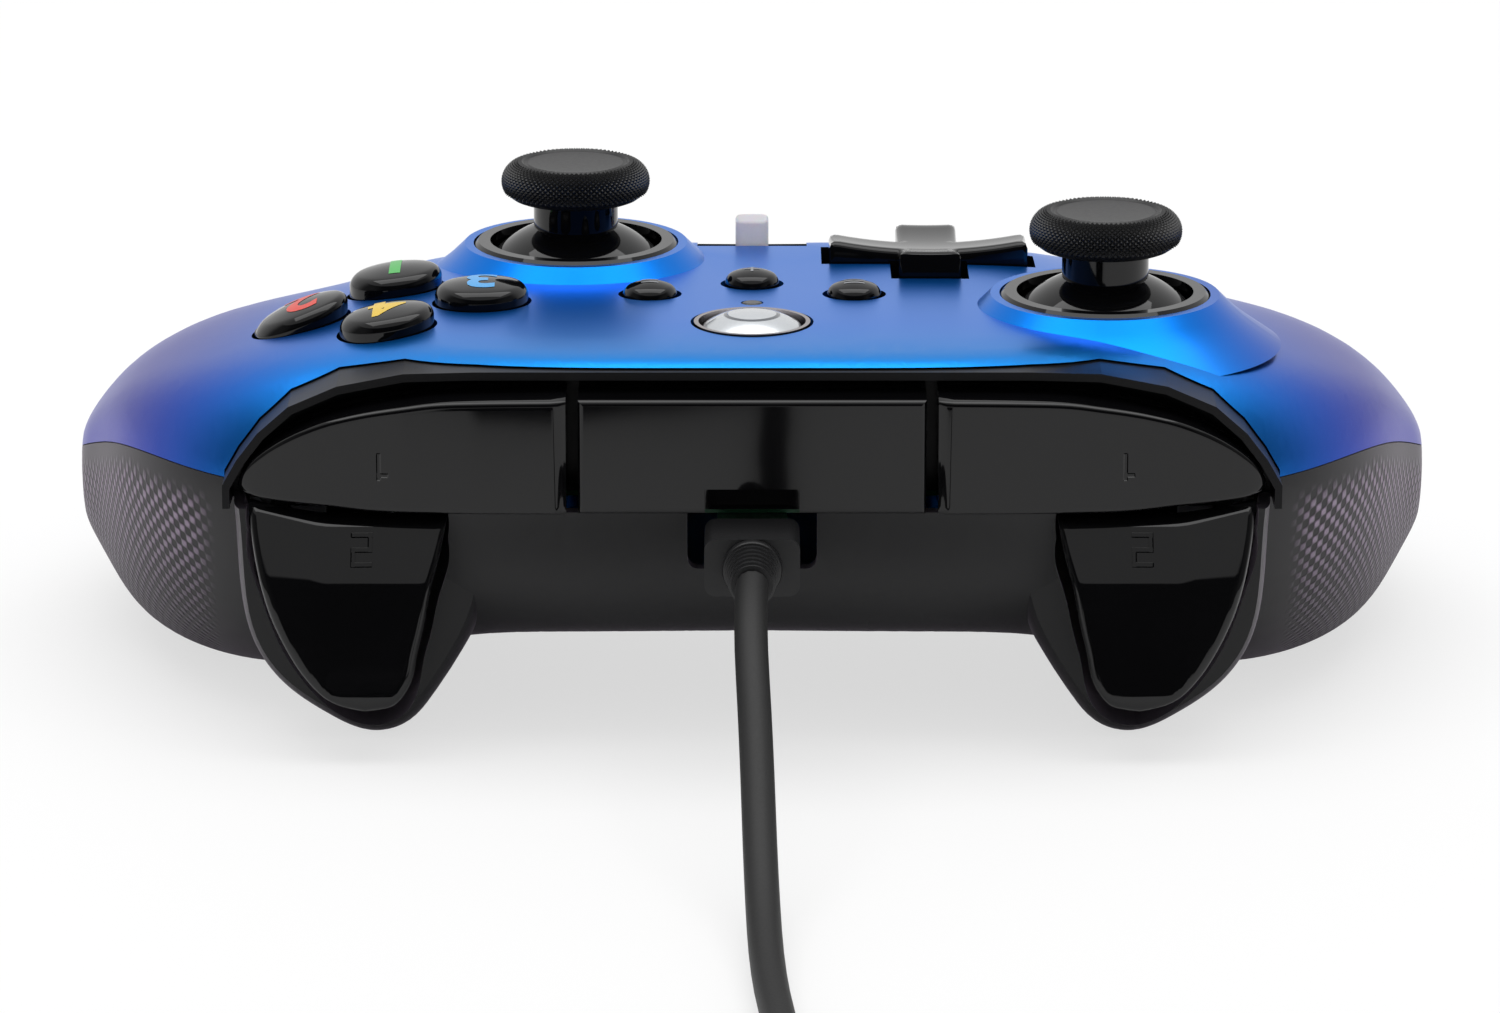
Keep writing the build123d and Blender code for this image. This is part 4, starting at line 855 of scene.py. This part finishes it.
# Name, place, and the bars of its mark as (width, depth, middle).
SMALL_BUTTONS = (
    ("small_button_left", (11.4, -11.6), [(2.3, 0.28, (0.0, level * 0.75)) for level in (-1, 0, 1)]),
    ("small_button_right", (-11.4, -11.6), [(1.9, 0.28, (0.0, 0.55)), (1.9, 0.28, (0.0, -0.55))]),
    ("small_button_middle", (0.0, -6.0), [(0.3, 1.9, (0.0, 0.0)), (1.9, 0.3, (0.0, 0.0))]),
)
SMALL_RADIUS, SMALL_DOME, SMALL_EDGE, SMALL_FOOT = 3.05, 0.9, 0.7, 40.0
SMALL_TOP = 44.0
SMALL_INK = "8E9196"
MARK_LIFT = 0.04
DPAD_PLACE = (20.1, 8.9)
DPAD_SPAN, DPAD_WIDTH, DPAD_EDGE, DPAD_FOOT = 11.3, 3.5, 1.0, 39.0
DPAD_HOLLOW = 1.15
DPAD_LOW = 43.0
DPAD_LEAN = 5.0
HOME_Y = -25.4
HOME_RING_RADIUS, HOME_RING_HALF_WIDTH = 2.9, 0.2


def domed(place, radius, dome, top, lean):
    """Height of a leaning dome over a button."""
    ball = (radius ** 2 + dome ** 2) / (2 * dome)
    slope = math.radians(lean)
    middle_x = place[0] + ball * math.sin(slope)
    middle_z = top - ball * math.cos(slope)
    return lambda x, y: middle_z + math.sqrt(ball ** 2 - (x - middle_x) ** 2 - (y - place[1]) ** 2)


def dpad_face(x, y):
    """Height of the direction pad's hollow, which leans towards the player."""
    ball = (DPAD_SPAN ** 2 + DPAD_HOLLOW ** 2) / (2 * DPAD_HOLLOW)
    slope = math.radians(DPAD_LEAN)
    middle_y = DPAD_PLACE[1] + ball * math.sin(slope)
    middle_z = DPAD_LOW + ball * math.cos(slope)
    return middle_z - math.sqrt(ball ** 2 - (x - DPAD_PLACE[0]) ** 2 - (y - middle_y) ** 2)


def home_pearl(settings):
    """Silvery pearl dome with a thin plain ring pressed into its top."""
    finish = Finish("home_pearl", Metallic=0.55, Coat_Weight=0.8, Coat_Roughness=0.04)
    place = finish.place()
    x, y, z = finish.parts(place)
    reach = (x ** 2 + (y - HOME_Y) ** 2) ** 0.5
    ring = (HOME_RING_HALF_WIDTH - abs(reach - HOME_RING_RADIUS)).ramp(low=-0.05, high=0.05)
    flakes = finish.grain(place, size=0.15, detail=1.0)
    tone = finish.mixed(flakes, scaled(settings.home, 0.85), tuple(settings.home))
    finish.feed("Base Color", finish.mixed(ring, tone, (0.1, 0.11, 0.13)))
    finish.feed("Roughness", 0.2 + 0.08 * flakes)
    finish.feed("Normal", finish.bump(1 - ring, 0.08 * MM))
    return finish.material


def frosted(settings):
    """Frosted plastic that lets a little light through."""
    finish = Finish(
        "frosted_nub", IOR=1.45, Transmission_Weight=0.45, Subsurface_Weight=0.5, Subsurface_Scale=1.5 * MM)
    grit = finish.grain(finish.place(), size=0.2)
    finish.feed("Base Color", finish.mixed(grit, scaled(settings.nub, 0.9), tuple(settings.nub)))
    finish.feed("Roughness", 0.4 + 0.15 * grit)
    finish.feed("Normal", finish.bump(grit, 0.01 * MM))
    return finish.material


class GAMEPAD_OT_buttons(bpy.types.Operator):
    """Face buttons, small buttons, home button, light, direction pad and volume nub"""

    bl_idname = "gamepad.buttons"
    bl_label = "Buttons"

    def execute(self, context):
        settings = context.scene.gamepad_finishes
        self.add_caps(gloss_black(settings, "button_black"))
        paint(home_pearl(settings), "home_button")
        paint(plain("ring_chrome", "A39C9E", 0.18, metallic=1.0), "home_ring")
        paint(plain("light_lens", "1A1A1E", 0.15), "status_light")
        paint(frosted(settings), "volume_nub")
        return {"FINISHED"}

    def add_caps(self, gloss):
        """Button caps and direction pad with the rounded edges of the mouldings."""
        for button, character, place, code, top, lean in FACE_BUTTONS:
            face = domed(place, FACE_RADIUS, FACE_DOME, top, lean)
            cap = round_cap(place, FACE_RADIUS, face, FACE_EDGE, FACE_FOOT)
            add_piece(button + "_cap", *cap, gloss, button, button)
            self.add_mark(button, *numeral(character, NUMERAL_HEIGHT), place, code, face)
        for button, place, bars in SMALL_BUTTONS:
            face = domed(place, SMALL_RADIUS, SMALL_DOME, SMALL_TOP, lean=0.0)
            cap = round_cap(place, SMALL_RADIUS, face, SMALL_EDGE, SMALL_FOOT)
            add_piece(button + "_cap", *cap, gloss, button, button)
            spots, quads = [], []
            for width, depth, middle in bars:
                more, strip = bar(width, depth, middle)
                quads += [tuple(number + len(spots) for number in quad) for quad in strip]
                spots += more
            self.add_mark(button, spots, quads, place, SMALL_INK, face)
        cross = cross_cap(DPAD_PLACE, DPAD_SPAN, DPAD_WIDTH, dpad_face, DPAD_EDGE, DPAD_FOOT)
        add_piece("dpad_cross", *cross, gloss, "dpad", "dpad_cap")

    def add_mark(self, button, spots, faces, place, code, face):
        """Lays a flat mark on a button's dome, to be read from the player's side."""
        points = []
        for across, up in spots:
            x, y = place[0] - across, place[1] - up
            points.append((x, y, face(x, y) + MARK_LIFT))
        add_piece(button + "_mark", points, faces, plain(button + "_ink", code, 0.3), button)


# ------------------------ sticks
# Profiles are (radius, height) about a stick's own axis, in millimetres.

STICKS = {"left": (39.1, -17.1), "right": (-20.1, 7.6)}
CAP_HOLLOW = [
    (0.0, 53.05), (2.5, 53.07), (4.6, 53.14), (5.4, 53.2), (5.6, 53.1), (5.8, 53.12), (5.95, 53.26),
    (6.1, 53.36),
]
CAP_FOOT = [(5.3, 48.8), (4.95, 49.0), (4.9, 50.8), (0.0, 50.8)]
RIM_MIDDLE = (6.2, 51.05)
RIM_RADII = (2.04, 2.12)
RIM_TOP_ANGLE, RIM_TURN = 80, 112  # degrees that the knurled rows start at and span
RIM_LOW_ANGLES = (-36, -48, -62, -76)
KNURL_HEIGHT = 0.26
KNURL_ROWS = 15
KNURL_COLUMNS = 156


def knurled_cap(middle):
    """Thumb cap with a hollow top, a lip and small pyramids round its rolled edge."""
    first = len(CAP_HOLLOW)
    bends = [math.radians(RIM_TOP_ANGLE - RIM_TURN * row / KNURL_ROWS) for row in range(KNURL_ROWS + 1)]
    low = [math.radians(angle) for angle in RIM_LOW_ANGLES]
    rim = [
        (RIM_MIDDLE[0] + RIM_RADII[0] * math.cos(bend), RIM_MIDDLE[1] + RIM_RADII[1] * math.sin(bend))
        for bend in bends + low]

    def lift(turn, step):
        row = step - first
        if 0 <= row <= KNURL_ROWS and (turn + row) % 2 == 0:
            return KNURL_HEIGHT * math.cos(bends[row]), KNURL_HEIGHT * math.sin(bends[row])
        return 0.0, 0.0

    points, faces = turned(CAP_HOLLOW + rim + CAP_FOOT, middle, KNURL_COLUMNS, lift)
    # Each face is cut between the two corners that aren't lifted, so that the others stand out.
    cut = []
    for a, b, c, d in faces:
        row, turn = divmod(a - 1, KNURL_COLUMNS)
        if (turn + row + 1 - first) % 2 == 0:
            cut += [(a, b, d), (b, c, d)]
        else:
            cut += [(a, b, c), (a, c, d)]
    return points, cut


class GAMEPAD_OT_sticks(bpy.types.Operator):
    """Thumb sticks with their knurled caps and the rings round their wells"""

    bl_idname = "gamepad.sticks"
    bl_label = "Thumb sticks"

    def execute(self, context):
        rubber = plain("stick_rubber", "101012", 0.38)
        gloss = gloss_black(context.scene.gamepad_finishes, "stick_black")
        for side, middle in STICKS.items():
            cap = knurled_cap(middle)
            body = side + "_stick"
            add_piece(body + "_knurled_cap", *cap, rubber, body, body + "_cap", sharp=math.radians(18))
            paint(gloss, body + "_stem", body + "_ring")
        return {"FINISHED"}


# ------------------------ inside and plugs
# The sleeve's profile is (radius, distance in front of the pad's middle), in millimetres.

SLEEVE_COLLAR = [(0.0, 55.2), (3.1, 55.2), (3.2, 55.4), (3.2, 56.2), (3.1, 56.4), (2.8, 56.5)]
SLEEVE_END = [(2.2, 61.95), (0.0, 62.0)]
SLEEVE_HEIGHT = 23.1
SLEEVE_SIDES = 48
RIBS = 5
RIB_START, RIB_PITCH = 56.7, 1.05
RIB_ENDS = (0.6, 0.7, 0.95)  # where a rib's crest, its slope and the groove behind it end
RIB_RADIUS, RIB_SHRINK, RIB_DEPTH = 2.95, 0.12, 0.25


class GAMEPAD_OT_inside(bpy.types.Operator):
    """Finishes of the pieces inside the pad and of the plugs"""

    bl_idname = "gamepad.inside"
    bl_label = "Inside and plugs"

    def execute(self, context):
        moulded = plain("inner_black", "18181A", 0.5)
        weights = plain("weight_steel", "77787C", 0.35, metallic=1.0)
        steel = plain("bright_steel", "B9BCC0", 0.25, metallic=1.0, size=0.2)
        for side in STICKS:
            paint(moulded, *(f"{side}_stick_{piece}" for piece in ("post", "yoke", "carriage")))
        paint(moulded, "bumper_switches", "headphone_socket", "dpad_gimbal", "dpad_cup", "volume_nub_holder")
        paint(steel, "trigger_pins", "trigger_springs", "usb_socket", "rumble_motors",
              "left_stick_housing", "right_stick_housing", "plug_tip", "far_plug_tip")
        paint(weights, "left_rumble_weight", "right_rumble_weight")
        paint(plain("screw_steel", "6E7074", 0.35, metallic=1.0), "case_screws")
        paint(plain("board_green", "0F5A34", 0.4), "main_board")
        paint(plain("silicone_grey", "9A9CA0", 0.6), "face_button_mat", "middle_button_mat")
        moulding = plain("plug_black", "121214", 0.4)
        paint(moulding, "plug_grip", "far_plug_grip")
        self.add_boot(moulding)
        paint(plain("tie_black", "151516", 0.8), "lead_tie")
        return {"FINISHED"}

    def add_boot(self, finish):
        """Bend sleeve of the plug: a collar, then ribs that shrink towards the cord."""
        ribs = []
        crest_end, slope_end, groove_end = RIB_ENDS
        for rib in range(RIBS):
            start = RIB_START + RIB_PITCH * rib
            crest = RIB_RADIUS - RIB_SHRINK * rib
            groove = crest - RIB_DEPTH
            ribs += [(crest, start), (crest, start + crest_end)]
            ribs += [(groove, start + slope_end), (groove, start + groove_end)]
        points, faces = turned(SLEEVE_COLLAR + ribs + SLEEVE_END, (0.0, 0.0), SLEEVE_SIDES)
        points = [(x, -ahead, SLEEVE_HEIGHT + z) for x, z, ahead in points]
        add_piece("bend_sleeve", points, faces, finish, "pad", "plug_boot")


# ------------------------ lead
# The route follows the CAD cord, so its places are in millimetres in the pad's frame.

LEAD_ROUTE = (
    (0.0, -62.0, 23.1), (-0.3, -72.0, 22.2), (0.4, -88.0, 14.6), (0.9, -106.0, 4.6),
    (1.5, -126.0, 1.8), (3.1, -145.0, 2.2), (2.5, -163.0, 2.3), (3.2, -181.0, 2.2),
    (3.0, -199.0, 2.7), (3.0, -212.5, 2.7),
)
COIL_MIDDLE = (-27.63, -216.0)
COIL_TURNS = (10, 11, 10, 11)
COIL_OUTER = 30.63
COIL_PITCH = 4.0
COIL_RISE = 4.1
COIL_FOOT = 2.7
LAYER_STEPS = (1.8, 2.4, 5.8)  # how the first half turns of a layer lie beside the last one below
POINTS_PER_HALF_TURN = 8
TAIL_STEPS = ((0, -3.5, 0), (0.3, -17.5, -0.9), (1.5, -34.5, -6.4), (1.2, -51.5, -10.2))
TAIL_LENGTH = 63.5
TAIL_END_HEIGHT = 4.0


def coil_radii():
    """Distance of each half turn's start from the coil's middle, and its layer."""
    steps = [(COIL_OUTER - turn * COIL_PITCH / 2, 0) for turn in range(COIL_TURNS[0] + 1)]
    outward = 1
    back, out, onward = LAYER_STEPS
    for layer, turns in enumerate(COIL_TURNS[1:], start=1):
        last = steps[-1][0]
        first = last - outward * back
        radii = [first, last + outward * out, first + outward * onward]
        while len(radii) < turns:
            radii.append(radii[-2] + outward * COIL_PITCH)
        steps.extend((radius, layer) for radius in radii[:turns])
        outward = -outward
    return steps


def coil_route():
    """Points round the coil, in millimetres, a half turn at a time on alternate sides."""
    ends = []
    side = 1
    for radius, layer in coil_radii():
        height = COIL_FOOT + layer * COIL_RISE
        ends.append(Vector((COIL_MIDDLE[0] + side * radius, COIL_MIDDLE[1], height)))
        side = -side
    route = []
    heading = -1
    swell = 1 / math.cos(math.pi / POINTS_PER_HALF_TURN / 2)
    for start, end in zip(ends, ends[1:]):
        middle = (start + end) / 2
        arm = (start - end) / 2
        for step in range(POINTS_PER_HALF_TURN):
            angle = math.pi * (step + 0.5) / POINTS_PER_HALF_TURN
            across = Vector((0, heading * arm.length * math.sin(angle) * swell, 0))
            route.append(middle + arm * (math.cos(angle) * swell) + across)
        heading = -heading
    return route, ends[-1]


def lead_line():
    """All of the lead's points, from the plug in the pad to the far plug."""
    coil, leave = coil_route()
    tail = [leave + Vector(step) for step in TAIL_STEPS]
    last = Vector((tail[-1].x, leave.y - TAIL_LENGTH, TAIL_END_HEIGHT))
    return [Vector(point) for point in LEAD_ROUTE] + coil + tail + [last]


class GAMEPAD_OT_lead(bpy.types.Operator):
    """Lead from the pad's plug over the table to its put-away coil and far plug"""

    bl_idname = "gamepad.lead"
    bl_label = "Lead"

    def execute(self, context):
        sizes = context.scene.gamepad_lead
        line = bpy.data.curves.new("lead_cord", "CURVE")
        line.dimensions = "3D"
        line.bevel_depth = sizes.diameter / 2
        line.bevel_resolution = 5
        line.use_fill_caps = True
        points = lead_line()
        spline = line.splines.new("NURBS")
        spline.points.add(len(points) - 1)
        for made, point in zip(spline.points, points):
            made.co = (*(point * MM), 1.0)
        spline.order_u = 3
        spline.use_endpoint_u = True
        spline.resolution_u = 4
        lead = bpy.data.objects.new("lead_cord", line)
        context.collection.objects.link(lead)
        line.materials.append(plain("lead_black", "09090A", 0.55, size=0.3))
        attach(lead, "pad")
        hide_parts("lead_front", "lead_coil", "lead_tail")
        return {"FINISHED"}


# ------------------------ panel

class GAMEPAD_PT_panel(bpy.types.Panel):
    """Lists the steps that dress the gamepad"""

    bl_idname = "GAMEPAD_PT_panel"
    bl_label = "Gamepad"
    bl_space_type = "VIEW_3D"
    bl_region_type = "UI"
    bl_category = "Gamepad"

    def draw(self, context):
        for operator in OPERATORS:
            self.layout.operator(operator.bl_idname)
        for name in SETTINGS:
            group = getattr(context.scene, name)
            box = self.layout.box()
            for prop in group.bl_rna.properties:
                if prop.identifier not in ("rna_type", "name"):
                    box.prop(group, prop.identifier)


SETTINGS = {
    "gamepad_finishes": PadFinishes, "gamepad_lead": LeadSizes, "gamepad_stage": StageSettings,
}
OPERATORS = (
    GAMEPAD_OT_stage, GAMEPAD_OT_covers, GAMEPAD_OT_shoulders,
    GAMEPAD_OT_buttons, GAMEPAD_OT_sticks, GAMEPAD_OT_inside, GAMEPAD_OT_lead,
)
CLASSES = (*SETTINGS.values(), *OPERATORS, GAMEPAD_PT_panel)


def register():
    for made in CLASSES:
        bpy.utils.register_class(made)
    for name, group in SETTINGS.items():
        setattr(bpy.types.Scene, name, bpy.props.PointerProperty(type=group))


def unregister():
    for name in SETTINGS:
        delattr(bpy.types.Scene, name)
    for made in reversed(CLASSES):
        bpy.utils.unregister_class(made)


def main():
    register()
    bpy.ops.gamepad.stage()
    bpy.ops.gamepad.covers()
    bpy.ops.gamepad.shoulders()
    bpy.ops.gamepad.buttons()
    bpy.ops.gamepad.sticks()
    bpy.ops.gamepad.inside()
    bpy.ops.gamepad.lead()


if __name__ == "__main__":
    main()
